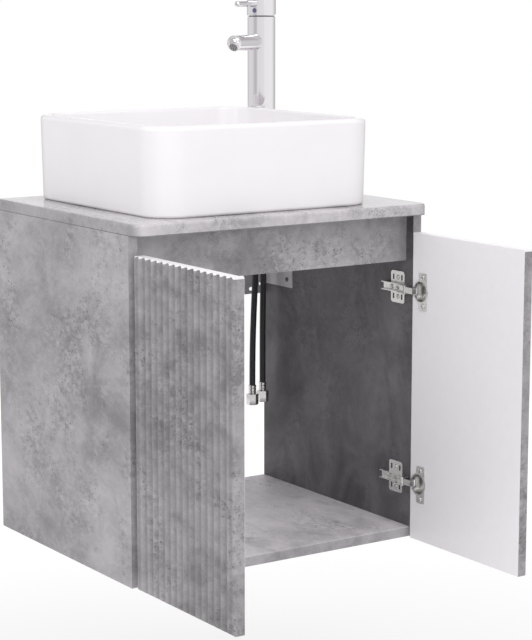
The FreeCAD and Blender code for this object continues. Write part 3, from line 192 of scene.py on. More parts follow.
def noise(finish, place, scale, detail=3.0, rough=0.5, bend=0.0):
    node = add_node(finish, "ShaderNodeTexNoise")
    node.inputs["Scale"].default_value = scale
    node.inputs["Detail"].default_value = detail
    node.inputs["Roughness"].default_value = rough
    node.inputs["Distortion"].default_value = bend
    join(finish, place, node.inputs["Vector"])
    return node.outputs["Fac"]


def spread_noise(finish, value, to_low, to_high):
    return spread(finish, value, *NOISE_RANGE, to_low, to_high)


def tint(finish, value, stops):
    ramp = add_node(finish, "ShaderNodeValToRGB")
    points = ramp.color_ramp.elements
    while len(points) < len(stops):
        points.new(0.5)
    for point, (at, colour) in zip(points, stops):
        point.position = at
        point.color = (*colour, 1)
    join(finish, value, ramp.inputs["Fac"])
    return ramp.outputs["Color"]


def tint_noise(finish, value, dark, pale):
    return tint(finish, value, list(zip(NOISE_RANGE, (dark, pale))))


def mix_colours(finish, share, first, second, **settings):
    mix = add_node(finish, "ShaderNodeMix", data_type="RGBA", **settings)
    fill(finish, mix.inputs["Factor"], share)
    fill(finish, mix.inputs["A"], first)
    fill(finish, mix.inputs["B"], second)
    return mix.outputs["Result"]


def roughen(finish, shader, height, depth, strength):
    bump = add_node(finish, "ShaderNodeBump")
    bump.inputs["Strength"].default_value = strength
    bump.inputs["Distance"].default_value = depth
    join(finish, height, bump.inputs["Height"])
    join(finish, bump.outputs["Normal"], shader.inputs["Normal"])


print("a noise is spread between", *NOISE_RANGE)

# %% [markdown]
# ## The concrete-look foil
# The boards wear a printed foil that imitates cast concrete: soft grey clouds, fainter patches inside them,
# a fine grain, and rough zones with a mottle and dark pits with pale rims. A photograph of concrete could be
# wrapped round the boards, but a sum of noises at several scales has no seams and keeps its size on every
# board. Each layer of the print has its own scale, in patches to the metre, and its share of the tone.
# The pits are the cells of a Voronoi pattern, some of them chosen by chance, and the same cells, moved a
# millimetre, make their pale rims.

# %% Concrete print
PRINT_PULL, PIT_PULL = (1.0, 0.65, 1.0), (1.0, 0.7, 1.0)
CLOUD_SHARE, PATCH_SHARE, MOTTLE_SHARE, GRAIN_SHARE = 0.40, 0.32, 0.12, 0.10
ROUGH_SHARE, RIM_SHARE, PIT_SHARE = 0.16, 0.06, 0.14
PIT_SCALE, SMALL_PIT_SCALE = 150.0, 290.0
PIT_CORE, PIT_EDGE, CHOICE_STEP = 0.14, 0.34, 0.04
RIM_MOVE, SMALL_PIT_MOVE = (0.0011, 0.0011, -0.0014), (0.3, 0.2, 0.1)
ZONE_FROM, ZONE_FULL, ZONE_LEAST = 0.50, 0.62, 0.03
TONE_STOPS, DEEPEST, GREEN_SHARE = (0.29, 0.41, 0.47, 0.56), 0.58, 0.965
GRAIN_HEIGHT = 0.35


def concrete_tone(finish, place, groups):
    drawn_out = stretch(finish, place, PRINT_PULL)
    clouds = noise(finish, drawn_out, scale=6.5, detail=4.0, rough=0.52, bend=0.4)
    patches = noise(finish, drawn_out, scale=21.0, detail=5.0, rough=0.60, bend=0.6)
    mottle = noise(finish, drawn_out, scale=110.0, detail=4.0, rough=0.65, bend=0.4)
    grain = noise(finish, place, scale=420.0, detail=2.0, rough=0.6)
    tone = sum_up(finish, "MULTIPLY", clouds, CLOUD_SHARE)
    for layer, share in ((patches, PATCH_SHARE), (mottle, MOTTLE_SHARE), (grain, GRAIN_SHARE)):
        tone = sum_up(finish, "ADD", tone, sum_up(finish, "MULTIPLY", layer, share))
    rough = spread(finish, mottle, 0, 1, -ROUGH_SHARE, ROUGH_SHARE)
    return sum_up(finish, "ADD", tone, sum_up(finish, "MULTIPLY", rough, groups)), patches, grain


def concrete_specks(finish, place, scale, move, chosen_from):
    cells = add_node(finish, "ShaderNodeTexVoronoi", feature="F1")
    cells.inputs["Scale"].default_value = scale
    join(finish, stretch(finish, place, PIT_PULL, move), cells.inputs["Vector"])
    dots = spread(finish, cells.outputs["Distance"], PIT_CORE, PIT_EDGE, 1.0, 0.0)
    chosen = spread(finish, cells.outputs["Color"], chosen_from, chosen_from + CHOICE_STEP, 0.0, 1.0)
    return sum_up(finish, "MULTIPLY", dots, chosen)


def concrete_pits(finish, place, groups):
    large = concrete_specks(finish, place, PIT_SCALE, (0, 0, 0), chosen_from=0.55)
    small = concrete_specks(finish, place, SMALL_PIT_SCALE, SMALL_PIT_MOVE, chosen_from=0.45)
    rims = concrete_specks(finish, place, PIT_SCALE, RIM_MOVE, chosen_from=0.55)
    dark = sum_up(finish, "MULTIPLY", sum_up(finish, "MAXIMUM", large, small), groups)
    return dark, sum_up(finish, "MULTIPLY", rims, groups)


def grey(level):
    return (level, level * GREEN_SHARE, level)


def concrete_colour(finish, place, dark, middle, pale):
    zones = noise(finish, place, scale=9.0, detail=4.0, rough=0.6, bend=0.6)
    groups = spread(finish, zones, ZONE_FROM, ZONE_FULL, ZONE_LEAST, 1.0)
    tone, patches, grain = concrete_tone(finish, place, groups)
    pits, rims = concrete_pits(finish, place, groups)
    tone = sum_up(finish, "ADD", tone, sum_up(finish, "MULTIPLY", rims, RIM_SHARE))
    tone = sum_up(finish, "SUBTRACT", tone, sum_up(finish, "MULTIPLY", pits, PIT_SHARE))
    greys = [grey(level) for level in (dark * DEEPEST, dark, middle, pale)]
    height = sum_up(finish, "SUBTRACT", sum_up(finish, "MULTIPLY", grain, GRAIN_HEIGHT), pits)
    return tint(finish, tone, list(zip(TONE_STOPS, greys))), patches, height


print("the print has pits about", round(1000 / PIT_SCALE), "mm apart in its rough zones")

# %% [markdown]
# ## The boards' finishes
# The worktop's print is paler than the doors', so the tone is a setting of the recipe. The worktop also has a
# clear coat, which mirrors the white room at a flat angle. The base's print is paler still, which is painted
# light on its upper face. A mask by height or by distance from the middle paints shade on a part of a board:
# the sides' inner faces are darker and more clouded, and the worktop's ends and all of the base but its upper
# face are darker. A thin dark line along the worktop's lower edge is a painted shadow in its joint. Each mask
# says its axis, where the shade begins, where it is full and how dark it is. It counts from the origin both
# ways, so that one mask serves the left and the right side.

# %% Boards
TOP_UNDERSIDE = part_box("worktop")[0][2]
TOP_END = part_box("worktop")[1][0]
SIDE_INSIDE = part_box("right_side_panel")[0][0]
BASE_UPPER = -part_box("base_panel")[1][2]
# Painted shade: the sides' inner faces are darker, in clouds.
INNER_PAINTED_SHADE = ("X", SIDE_INSIDE + 0.0003, SIDE_INSIDE + 0.0001, 0.34)
# Painted shade on the worktop's end faces and on the last 13 mm of its top.
TOP_END_PAINTED_SHADE = ("X", TOP_END - 0.0130, TOP_END - 0.0004, 0.66)
# Painted shadow: a thin dark line along the worktop's lower edge, in its joint.
TOP_JOINT_PAINTED_SHADOW = ("Z", TOP_UNDERSIDE + 0.0014, TOP_UNDERSIDE + 0.0012, 0.42)
# Painted shade on all of the base below its upper face.
BASE_PAINTED_SHADE = ("Z", BASE_UPPER + 0.0003, BASE_UPPER + 0.0005, 0.50)
SHADE_CLOUD_PULL, SHADE_CLOUD_DARK, SHADE_CLOUD_PALE = (1.0, 1.3, 0.8), 0.64, 1.36
FOIL_GLOSS, FOIL_BUMP, FOIL_BUMP_SHARE = 0.42, 0.00025, 0.5
FOIL_SMOOTH, FOIL_ROUGH = 0.38, 0.56


def shade_colour(finish, colour, mask, shade):
    if isinstance(shade, float):
        shade = (shade, shade, shade, 1)
    return mix_colours(finish, mask, colour, shade, blend_type="MULTIPLY")


# Painted shade in soft clouds, between a darker and a paler level, for the sides' inner faces.
def clouded_painted_shade(finish, place, level):
    drawn_out = stretch(finish, place, SHADE_CLOUD_PULL)
    clouds = noise(finish, drawn_out, scale=8.0, detail=6.0, rough=0.62, bend=0.9)
    return tint(finish, clouds, [(0.34, grey(level * SHADE_CLOUD_DARK)), (0.66, grey(level * SHADE_CLOUD_PALE))])


def concrete_finish(name, tones, smooth=FOIL_SMOOTH, rough=FOIL_ROUGH, shaded=(), clouded=False, **sockets):
    finish, shader, place = start_finish(name, Specular_IOR_Level=FOIL_GLOSS, **sockets)
    colour, patches, height = concrete_colour(finish, place, *tones)
    for axis, begins, full, level in shaded:
        distance = sum_up(finish, "ABSOLUTE", split_axes(finish, place)[axis], 0)
        mask = spread(finish, distance, begins, full, 0, 1)
        shade = clouded_painted_shade(finish, place, level) if clouded else level
        colour = shade_colour(finish, colour, mask, shade)
    join(finish, colour, shader.inputs["Base Color"])
    join(finish, spread_noise(finish, patches, smooth, rough), shader.inputs["Roughness"])
    roughen(finish, shader, height, FOIL_BUMP, FOIL_BUMP_SHARE)
    return finish


side_concrete = concrete_finish("side_concrete", (0.275, 0.355, 0.445), shaded=[INNER_PAINTED_SHADE], clouded=True)
rail_concrete = concrete_finish("rail_concrete", (0.27, 0.355, 0.45))
top_concrete = concrete_finish("top_concrete", (0.35, 0.45, 0.56), smooth=0.22, rough=0.34,
                               shaded=[TOP_END_PAINTED_SHADE, TOP_JOINT_PAINTED_SHADOW], Coat_Weight=0.45, Coat_Roughness=0.10)
# The base's print is far paler than the other boards': painted light on its upper face, with painted shade
# below it.
base_concrete_painted_light = concrete_finish("base_concrete_painted_light", (0.66, 0.80, 0.90), shaded=[BASE_PAINTED_SHADE])
print("concrete finishes:", side_concrete.name, rail_concrete.name, top_concrete.name, base_concrete_painted_light.name)

# %% [markdown]
# ## The doors' two faces
# A door has the concrete print on its fluted face and its upright edges, and white lacquer on the back and
# along the top. Two materials on one board would need the mesh to be cut, so one material reads
# where it is instead: nearer the middle of the cabinet than the board's back, or above its top edge.
# The flutes' valleys get a painted shade, which a cosine of the flutes' pitch lays on the print. The same
# cosine raises the lacquer's edge in the valleys, so that the white top ends in scallops.

# %% Door finish
DOOR_TONES = (0.222, 0.305, 0.398)
DOOR_LOW, DOOR_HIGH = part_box("right_door")
DOOR_BACK = DOOR_LOW.x + 0.0003
RIDGE_TOP, VALLEY_TOP = DOOR_HIGH.z - 0.0024, DOOR_HIGH.z - 0.0001
DOOR_MIDDLE = (DOOR_LOW.y + DOOR_HIGH.y) / 2
FLUTE, VALLEY_PAINTED_SHADE = 0.017, 0.75
LACQUER_DARK, LACQUER_PALE = (0.870, 0.855, 0.880), (0.890, 0.875, 0.900)
LACQUER_SMOOTH, LACQUER_ROUGH = 0.32, 0.42
door_finish, shader, place = start_finish("door_finish", Specular_IOR_Level=FOIL_GLOSS)
colour, patches, height = concrete_colour(door_finish, place, *DOOR_TONES)
axes = split_axes(door_finish, place)
from_door_middle = sum_up(door_finish, "SUBTRACT", axes["Y"], DOOR_MIDDLE)
phase = sum_up(door_finish, "MULTIPLY", from_door_middle, 2 * math.pi / FLUTE)
valley = spread(door_finish, sum_up(door_finish, "COSINE", phase, 0), 1, -1, 0, 1)
lacquer_edge = spread(door_finish, valley, 0, 1, RIDGE_TOP, VALLEY_TOP)
# Painted shade in the flutes' valleys.
colour = shade_colour(door_finish, colour, valley, VALLEY_PAINTED_SHADE)
from_middle = sum_up(door_finish, "ABSOLUTE", axes["X"], 0)
lacquered = sum_up(door_finish, "MAXIMUM", sum_up(door_finish, "LESS_THAN", from_middle, DOOR_BACK),
                   sum_up(door_finish, "GREATER_THAN", axes["Z"], lacquer_edge))
lacquer_cloud = noise(door_finish, place, scale=60.0, detail=3.0, rough=0.6)
lacquer = tint_noise(door_finish, lacquer_cloud, LACQUER_DARK, LACQUER_PALE)
join(door_finish, mix_colours(door_finish, lacquered, colour, lacquer), shader.inputs["Base Color"])
dull = add_node(door_finish, "ShaderNodeMix", data_type="FLOAT")
uneven = noise(door_finish, place, scale=35.0)
join(door_finish, lacquered, dull.inputs["Factor"])
join(door_finish, spread_noise(door_finish, patches, FOIL_SMOOTH, FOIL_ROUGH), dull.inputs["A"])
join(door_finish, spread_noise(door_finish, uneven, LACQUER_SMOOTH, LACQUER_ROUGH), dull.inputs["B"])
join(door_finish, dull.outputs["Result"], shader.inputs["Roughness"])
printed = sum_up(door_finish, "SUBTRACT", 1, lacquered)
roughen(door_finish, shader, sum_up(door_finish, "MULTIPLY", height, printed), FOIL_BUMP, FOIL_BUMP_SHARE)
print("doors are white nearer the middle than", round(DOOR_BACK, 4), "and above", round(RIDGE_TOP, 4))

# %% [markdown]
# ## Metals
# Chrome, nickel, die-cast zinc, dark steel and brass differ in colour and in how much they blur what they
# mirror. A metal with one flat roughness looks like plastic, so a stretched noise gives each a faint grain
# from its polishing or turning.

# %% Metals
GRAIN_BUMP_SHARE = 0.3


def metal_finish(name, colour, smooth, rough, grain, depth):
    finish, shader, place = start_finish(name, Base_Color=(*colour, 1), Metallic=1.0)
    polish = noise(finish, stretch(finish, place, grain), scale=1.0, detail=4.0, rough=0.6)
    join(finish, spread_noise(finish, polish, smooth, rough), shader.inputs["Roughness"])
    roughen(finish, shader, polish, depth, GRAIN_BUMP_SHARE)
    return finish


chrome = metal_finish("chrome_plate", (0.81, 0.79, 0.81), smooth=0.045, rough=0.10,
                      grain=(40, 40, 40), depth=0.00002)
nickel = metal_finish("nickel_plate", (0.70, 0.69, 0.68), smooth=0.20, rough=0.34,
                      grain=(300, 300, 60), depth=0.00006)
zinc = metal_finish("cast_zinc", (0.58, 0.58, 0.59), smooth=0.36, rough=0.52,
                    grain=(500, 500, 500), depth=0.00012)
dark_steel = metal_finish("dark_steel", (0.16, 0.16, 0.17), smooth=0.30, rough=0.44,
                          grain=(300, 300, 300), depth=0.00006)
brass = metal_finish("turned_brass", (0.72, 0.54, 0.28), smooth=0.22, rough=0.36,
                     grain=(60, 60, 700), depth=0.00006)
print("metals:", chrome.name, nickel.name, zinc.name, dark_steel.name, brass.name)

# %% [markdown]
# ## Glaze, paint, plastic, rubber and wood
# The basin's glaze is thick and glossy, with a faint unevenness that bends its reflections. The wall brackets
# are painted with a slight orange peel. The trap is moulded plastic, the seals rubber, the dowels beech.

# %% Glaze, paint, plastic, rubber and wood
CLOUD_BUMP_SHARE = 0.4


def plain_finish(name, dark, pale, scale, smooth, rough, depth, **sockets):
    finish, shader, place = start_finish(name, **sockets)
    cloud = noise(finish, place, scale, detail=4.0, rough=0.55)
    join(finish, tint_noise(finish, cloud, dark, pale), shader.inputs["Base Color"])
    join(finish, spread_noise(finish, cloud, smooth, rough), shader.inputs["Roughness"])
    roughen(finish, shader, cloud, depth, CLOUD_BUMP_SHARE)
    return finish


glaze = plain_finish("white_glaze", (0.830, 0.815, 0.832), (0.850, 0.835, 0.852), scale=14.0,
                     smooth=0.06, rough=0.11, depth=0.0002, Coat_Weight=0.3, Coat_Roughness=0.04)
bracket_paint = plain_finish("bracket_paint", (0.66, 0.65, 0.66), (0.74, 0.73, 0.74), scale=700.0,
                             smooth=0.36, rough=0.48, depth=0.0001)
white_plastic = plain_finish("white_plastic", (0.80, 0.80, 0.79), (0.86, 0.86, 0.85), scale=500.0,
                             smooth=0.30, rough=0.42, depth=0.00008)
grey_plastic = plain_finish("grey_plastic", (0.075, 0.075, 0.08), (0.11, 0.11, 0.115), scale=600.0,
                            smooth=0.40, rough=0.55, depth=0.0001)
rubber = plain_finish("black_rubber", (0.016, 0.016, 0.018), (0.030, 0.030, 0.032), scale=800.0,
                      smooth=0.55, rough=0.75, depth=0.0001)
beech = plain_finish("beech", (0.50, 0.33, 0.18), (0.64, 0.46, 0.27), scale=180.0,
                     smooth=0.50, rough=0.65, depth=0.0001)
print("plain finishes:", glaze.name, bracket_paint.name, white_plastic.name, rubber.name, beech.name)

# %% [markdown]
# ## The aerator's mesh
# The spout ends in a fine metal mesh that mixes air into the water. Its wires are far too thin to model, so
# three sines of the wires' pitch, multiplied, give a weave of dark holes and paler wires.

# %% Aerator mesh
WIRE_PITCH = 0.0016
HOLE_COLOUR, WIRE_COLOUR = (0.10, 0.10, 0.105), (0.34, 0.34, 0.35)
aerator_mesh, shader, place = start_finish("aerator_mesh", Roughness=0.45)
axes = split_axes(aerator_mesh, place)
threads = []
for axis in "XYZ":
    turns = sum_up(aerator_mesh, "MULTIPLY", axes[axis], 2 * math.pi / WIRE_PITCH)
    threads.append(sum_up(aerator_mesh, "SINE", turns, 0))
weave = sum_up(aerator_mesh, "MULTIPLY", threads[0], threads[1])
weave = sum_up(aerator_mesh, "MULTIPLY", weave, threads[2])
wires = spread(aerator_mesh, weave, -0.3, 0.3, 0, 1)
join(aerator_mesh, tint(aerator_mesh, wires, [(0.2, HOLE_COLOUR), (0.8, WIRE_COLOUR)]),
     shader.inputs["Base Color"])
roughen(aerator_mesh, shader, weave, depth=0.0002, strength=0.5)
print("aerator's wires are", WIRE_PITCH * 1000, "mm apart")

# %% [markdown]
# ## The hoses' cover
# A braid follows the hose, not the room, so this finish reads the curve's own UV map: one direction runs
# along the hose and the other round it. Two sets of slanting bands, crossed, give the raised strands.

# %% Hose cover
BANDS_ALONG, STRANDS_ROUND = 70, 8
GROOVE_COLOUR, STRAND_COLOUR = (0.008, 0.008, 0.009), (0.046, 0.046, 0.050)
GROOVE_ROUGH, STRAND_ROUGH = 0.62, 0.40
hose_cover, shader = start_finish("hose_cover", Specular_IOR_Level=0.45)[:2]
along = add_node(hose_cover, "ShaderNodeTexCoord").outputs["UV"]
strands = []
for slant in (1, -1):
    turned = add_node(hose_cover, "ShaderNodeVectorMath", operation="DOT_PRODUCT")
    join(hose_cover, along, turned.inputs[0])
    turned.inputs[1].default_value = (2 * math.pi * BANDS_ALONG, slant * 2 * math.pi * STRANDS_ROUND, 0)
    strands.append(sum_up(hose_cover, "SINE", turned.outputs["Value"], 0))
braid = sum_up(hose_cover, "MAXIMUM", strands[0], strands[1])
raised = spread(hose_cover, braid, -1, 1, 0, 1)
join(hose_cover, tint(hose_cover, raised, [(0.2, GROOVE_COLOUR), (0.9, STRAND_COLOUR)]),
     shader.inputs["Base Color"])
join(hose_cover, spread(hose_cover, braid, -1, 1, GROOVE_ROUGH, STRAND_ROUGH), shader.inputs["Roughness"])
roughen(hose_cover, shader, braid, depth=0.0003, strength=0.6)
print("hose cover has", STRANDS_ROUND, "strands each way")

# %% [markdown]
# ## Dressing the solids
# Each solid of the imported model names a material slot. A table gives every slot its finish, and a second
# table names the boards whose print differs from the slot's usual tone, and the aerator. The base's own
# finish is paler by painted light. Only the materials change here. The hoses' lines take the place of the two
# plain tubes.

# %% Dress the solids
SLOT_FINISH = {"concrete_board": side_concrete, "door_board": door_finish, "dowel_wood": beech,
               "zinc_cam": zinc, "nickel_steel": nickel, "bracket_steel": bracket_paint,
               "white_ceramic": glaze, "chrome": chrome, "white_plastic": white_plastic,
               "grey_plastic": grey_plastic, "stem_metal": brass, "black_rubber": rubber}
OWN_FINISH = {"front_rail": rail_concrete, "worktop": top_concrete, "base_panel": base_concrete_painted_light,
              "aerator": aerator_mesh}
slot_of = {part["node"]: part["material_slot"] for part in frame["record"]["subparts"]}
for name, solid in frame["nodes"].items():
    solid.data.materials.clear()
    solid.data.materials.append(OWN_FINISH.get(name, SLOT_FINISH[slot_of[name]]))
for line, node in ((cold_line, "cold_hose"), (hot_line, "hot_hose")):
    line.data.materials.append(hose_cover)
    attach(line, "carcass")
    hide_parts(node)
worn = {solid.data.materials[0].name for solid in frame["nodes"].values()}
print("dressed", len(frame["nodes"]), "solids with", len(worn), "finishes")

# %% [markdown]
# ## Helpers for new pieces
# Small hardware is turned or pressed, so its mesh starts as a profile that is spun round an axis, or as a
# circle that is extruded. `settle` closes such a mesh and hands it over as a piece: it merges the doubles,
# turns the faces outwards, marks the sharp edges and makes the piece ride on its body.
# `find_solids` reads where the separate solids of a node are, so that new hardware lands on the old.

# %% Helpers for new pieces
SMALL, TINY = 1e-6, 1e-7
UP = Vector((0, 0, 1))


def find_solids(node):
    shape = bmesh.new()
    shape.from_mesh(frame["nodes"][node].data)
    bmesh.ops.remove_doubles(shape, verts=shape.verts, dist=SMALL)
    waiting, boxes = set(shape.verts), []
    while waiting:
        reached = [waiting.pop()]
        found = list(reached)
        while reached:
            vert = reached.pop()
            fresh = [e.other_vert(vert) for e in vert.link_edges if e.other_vert(vert) in waiting]
            waiting.difference_update(fresh)
            reached += fresh
            found += fresh
        boxes.append([Vector([pick(v.co[k] for v in found) for k in range(3)]) for pick in (min, max)])
    shape.free()
    return sorted(boxes, key=lambda box: tuple(box[0]))


def settle(shape, name, finish, body, slot, *nodes, sharp=35):
    bmesh.ops.remove_doubles(shape, verts=shape.verts, dist=TINY)
    bmesh.ops.recalc_face_normals(shape, faces=shape.faces)
    mesh = bpy.data.meshes.new(name)
    shape.to_mesh(mesh)
    shape.free()
    mesh.shade_smooth()
    mesh.set_sharp_from_angle(angle=math.radians(sharp))
    mesh.materials.append(finish)
    piece = bpy.data.objects.new(name, mesh)
    bpy.context.collection.objects.link(piece)
    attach(piece, body)
    if nodes:
        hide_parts(*nodes)
    print(name, "has", len(mesh.polygons), "faces")
    return piece


def turn_profile(shape, profile, steps=32):
    verts = [shape.verts.new((radius, 0, height)) for radius, height in profile]
    edges = [shape.edges.new(pair) for pair in zip(verts, verts[1:])]
    bmesh.ops.spin(shape, geom=verts + edges, cent=(0, 0, 0), axis=(0, 0, 1), angle=2 * math.pi,
                   steps=steps, use_merge=True, use_duplicate=False)
    bmesh.ops.remove_doubles(shape, verts=shape.verts, dist=TINY)


def verts_of(geom):
    return [part for part in geom if isinstance(part, bmesh.types.BMVert)]


def stand_copies(shape, places):
    first = shape.verts[:] + shape.edges[:] + shape.faces[:]
    for place in places:
        copy = bmesh.ops.duplicate(shape, geom=first)["geom"]
        bmesh.ops.transform(shape, matrix=place, verts=verts_of(copy))
    bmesh.ops.delete(shape, geom=verts_of(first), context="VERTS")


def facing(point, direction):
    turn = UP.rotation_difference(Vector(direction)).to_matrix().to_4x4()
    return Matrix.Translation(point) @ turn


print("plate screws are", len(find_solids("plate_screws")), "solids")

# %% [markdown]
# ## Screws
# The hinges and the wall brackets are held by pan-head screws with a cross recess. A turned profile gives
# the head and the threaded shank. The flat on the head's top is a disc of its own, so that four cuts
# with planes in each of two directions can outline a cross on it and the faces inside can be pushed down.
# Each screw is turned further than the last, because real ones stop at any angle.

# %% Screws
HEAD_RADIUS, HEAD_THICK, SHANK_RADIUS = 0.004, 0.002, 0.002
FLAT_RADIUS = HEAD_RADIUS * 0.72
CROSS_HALF, CROSS_REACH = HEAD_RADIUS * 0.12, HEAD_RADIUS * 0.56
CROSS_DEEP, CROSS_TAPER = HEAD_THICK * 0.55, 0.82
THREAD_PITCH, THREAD_RISE, THREAD_START = 0.0012, 0.0006, 0.0004
THREAD_ROOT, TIP_ROOT = SHANK_RADIUS * 0.74, SHANK_RADIUS * 0.7
PLAIN_TIP, POINT_HIGH = 0.003, 0.002


def lies_flat(face):
    return all(abs(vert.co.z) < TINY for vert in face.verts)


def sink_cross(shape):
    for normal in (Vector((1, 0, 0)), Vector((0, 1, 0))):
        for at in (-CROSS_REACH, -CROSS_HALF, CROSS_HALF, CROSS_REACH):
            flat = [face for face in shape.faces if lies_flat(face)]
            around = list({e for f in flat for e in f.edges}) + list({v for f in flat for v in f.verts})
            bmesh.ops.bisect_plane(shape, geom=flat + around, dist=TINY, plane_co=normal * at,
                                   plane_no=normal)
    cross = []
    for face in shape.faces:
        middle = face.calc_center_median()
        near, far = sorted((abs(middle.x), abs(middle.y)))
        if lies_flat(face) and near < CROSS_HALF and far < CROSS_REACH:
            cross.append(face)
    recess = verts_of(bmesh.ops.extrude_face_region(shape, geom=cross)["geom"])
    bmesh.ops.translate(shape, verts=recess, vec=(0, 0, -CROSS_DEEP))
    bmesh.ops.scale(shape, verts=recess, vec=(CROSS_TAPER, CROSS_TAPER, 1))
    bmesh.ops.delete(shape, geom=[f for f in cross if f.is_valid], context="FACES_ONLY")


def make_screw(shape, length):
    bmesh.ops.create_circle(shape, cap_ends=True, segments=32, radius=FLAT_RADIUS)
    head = [(FLAT_RADIUS, 0), (HEAD_RADIUS * 0.88, -HEAD_THICK * 0.12),
            (HEAD_RADIUS * 0.97, -HEAD_THICK * 0.42), (HEAD_RADIUS, -HEAD_THICK * 0.75),
            (HEAD_RADIUS, -HEAD_THICK), (SHANK_RADIUS * 0.8, -HEAD_THICK)]
    thread = []
    down = -HEAD_THICK - THREAD_START
    while down > -length + PLAIN_TIP:
        thread += [(THREAD_ROOT, down), (SHANK_RADIUS, down - THREAD_RISE)]
        down -= THREAD_PITCH
    turn_profile(shape, head + thread + [(TIP_ROOT, -length + POINT_HIGH), (0, -length)])
    sink_cross(shape)


TURN_STEP, FIRST_TURN = 0.7, 0.3
SCREWS = {"plate_screws": "carcass", "arm_screws": "carcass", "bracket_screws": "carcass",
          "right_cup_screws": "right_door", "left_cup_screws": "left_door"}
for node, body in SCREWS.items():
    boxes = find_solids(node)
    shape = bmesh.new()
    make_screw(shape, boxes[0][1].x - boxes[0][0].x)
    places = []
    for low, high in boxes:
        middle = (low + high) / 2
        inward = -1 if middle.x > 0 else 1
        head_at = low.x if inward < 0 else high.x
        turned_in = Matrix.Rotation(len(places) * TURN_STEP + FIRST_TURN, 4, "Z")
        places.append(facing((head_at, middle.y, middle.z), (inward, 0, 0)) @ turned_in)
    stand_copies(shape, places)
    finish = dark_steel if node == "bracket_screws" else nickel
    settle(shape, node.replace("screws", "cross_screws"), finish, body, "nickel_steel", node)

# %% [markdown]
# ## The hoses' fittings
# Each hose ends in a crimped sleeve and a hexagon nut that goes on its valve. The nut's outline is a circle
# of six sides whose edges are divided, so that it has as many points as the round bore, and the two are
# bridged. Its top and bottom edges are bevelled as a turned nut's are. The sleeve is a turned profile with
# two grooves, where the crimping tool pressed it.

# %% Hose fittings
NUT_HIGH, NUT_WIDE, BORE, BORE_DEEP = 0.020, 0.011, 0.007, 0.014
NUT_BEVEL, NUT_FLATS = 0.0008, NUT_WIDE * 0.86
SIDES, SIDE_CUTS = 6, 3
BORE_POINTS = SIDES * (SIDE_CUTS + 1)


def edges_of(geom):
    return [part for part in geom if isinstance(part, bmesh.types.BMEdge)]


def raise_wall(shape, loop, height):
    wall = bmesh.ops.extrude_edge_only(shape, edges=loop)["geom"]
    bmesh.ops.translate(shape, verts=verts_of(wall), vec=(0, 0, height))
    upper = [edge for edge in edges_of(wall) if all(v.co.z > height / 2 for v in edge.verts)]
    bmesh.ops.contextual_create(shape, geom=upper)


def make_nut(shape):
    bmesh.ops.create_circle(shape, segments=SIDES, radius=NUT_WIDE)
    bmesh.ops.subdivide_edges(shape, edges=shape.edges[:], cuts=SIDE_CUTS)
    outline = shape.edges[:]
    rim = bmesh.ops.create_circle(shape, segments=BORE_POINTS, radius=BORE)["verts"]
    bore = list({edge for vert in rim for edge in vert.link_edges})
    bmesh.ops.bridge_loops(shape, edges=outline + bore)
    raise_wall(shape, outline, NUT_HIGH)
    raise_wall(shape, bore, BORE_DEEP)
    bmesh.ops.recalc_face_normals(shape, faces=shape.faces)
    ends = [e for e in shape.edges if all(v.co.xy.length > NUT_FLATS for v in e.verts)
            and abs(e.verts[0].co.z - e.verts[1].co.z) < SMALL]
    bmesh.ops.bevel(shape, geom=ends, offset=NUT_BEVEL, offset_type="OFFSET", segments=2, profile=0.5,
                    affect="EDGES", material=-1)


SLEEVE = [(0.0056, 0), (0.0066, 0.0004), (0.0070, 0.0016), (0.0070, 0.0036), (0.0064, 0.0044),
          (0.0064, 0.0054), (0.0070, 0.0062), (0.0070, 0.0094), (0.0064, 0.0102), (0.0064, 0.0112),
          (0.0070, 0.0120), (0.0070, 0.0150), (0.0062, 0.0160), (0.0056, 0.0160), (0.0056, 0)]
for hose, route in (("cold", COLD_ROUTE), ("hot", HOT_ROUTE)):
    shape = bmesh.new()
    make_nut(shape)
    stand_copies(shape, [Matrix.Translation(Vector(route[-1]) - UP * NUT_HIGH)])
    nut = settle(shape, hose + "_hose_nut", nickel, "carcass", "nickel_steel", "hose_nuts", sharp=25)
    shape = bmesh.new()
    turn_profile(shape, SLEEVE, BORE_POINTS)
    stand_copies(shape, [Matrix.Translation(route[-1])])
    sleeve = settle(shape, hose + "_hose_sleeve", nickel, "carcass", "nickel_steel")

# %% [markdown]
# ## The mark on the tap
# A small slate-blue dot under the lever shows the cold side. It is a shallow dome pressed into the cap,
# turned from a profile of five points and set against the cap's round wall. The record says about which axis
# the cap tilts, and the lever points square to that axis.

# %% Tap mark
tilt = next(joint for joint in frame["record"]["behaviour"]["joints"] if joint["name"] == "handle_lift")
TILT_POINT = Vector(tilt["pos_m"])
TAP_AXIS = Vector((TILT_POINT.x, TILT_POINT.y, 0))
LEVER_WAY = UP.cross(Vector(tilt["axis"]))
CAP_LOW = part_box("tap_handle")[0]
CAP_RADIUS, MARK_HEIGHT = TAP_AXIS.x - CAP_LOW.x, CAP_LOW.z + 0.0086
MARK_DARK, MARK_PALE = (0.085, 0.085, 0.200), (0.105, 0.105, 0.235)
MARK_SMOOTH, MARK_ROUGH = 0.16, 0.26
MARK_PROFILE = [(0, 0.0005), (0.0026, 0.0004), (0.0041, 0), (0.0043, -0.0012), (0, -0.0012)]
blue, shader, place = start_finish("cold_blue", Coat_Weight=0.6, Coat_Roughness=0.05)
cloud = noise(blue, place, scale=900.0)
join(blue, tint_noise(blue, cloud, MARK_DARK, MARK_PALE), shader.inputs["Base Color"])
join(blue, spread_noise(blue, cloud, MARK_SMOOTH, MARK_ROUGH), shader.inputs["Roughness"])
shape = bmesh.new()
turn_profile(shape, MARK_PROFILE, steps=24)
mark_place = TAP_AXIS + LEVER_WAY * CAP_RADIUS + UP * MARK_HEIGHT
stand_copies(shape, [facing(mark_place, LEVER_WAY)])
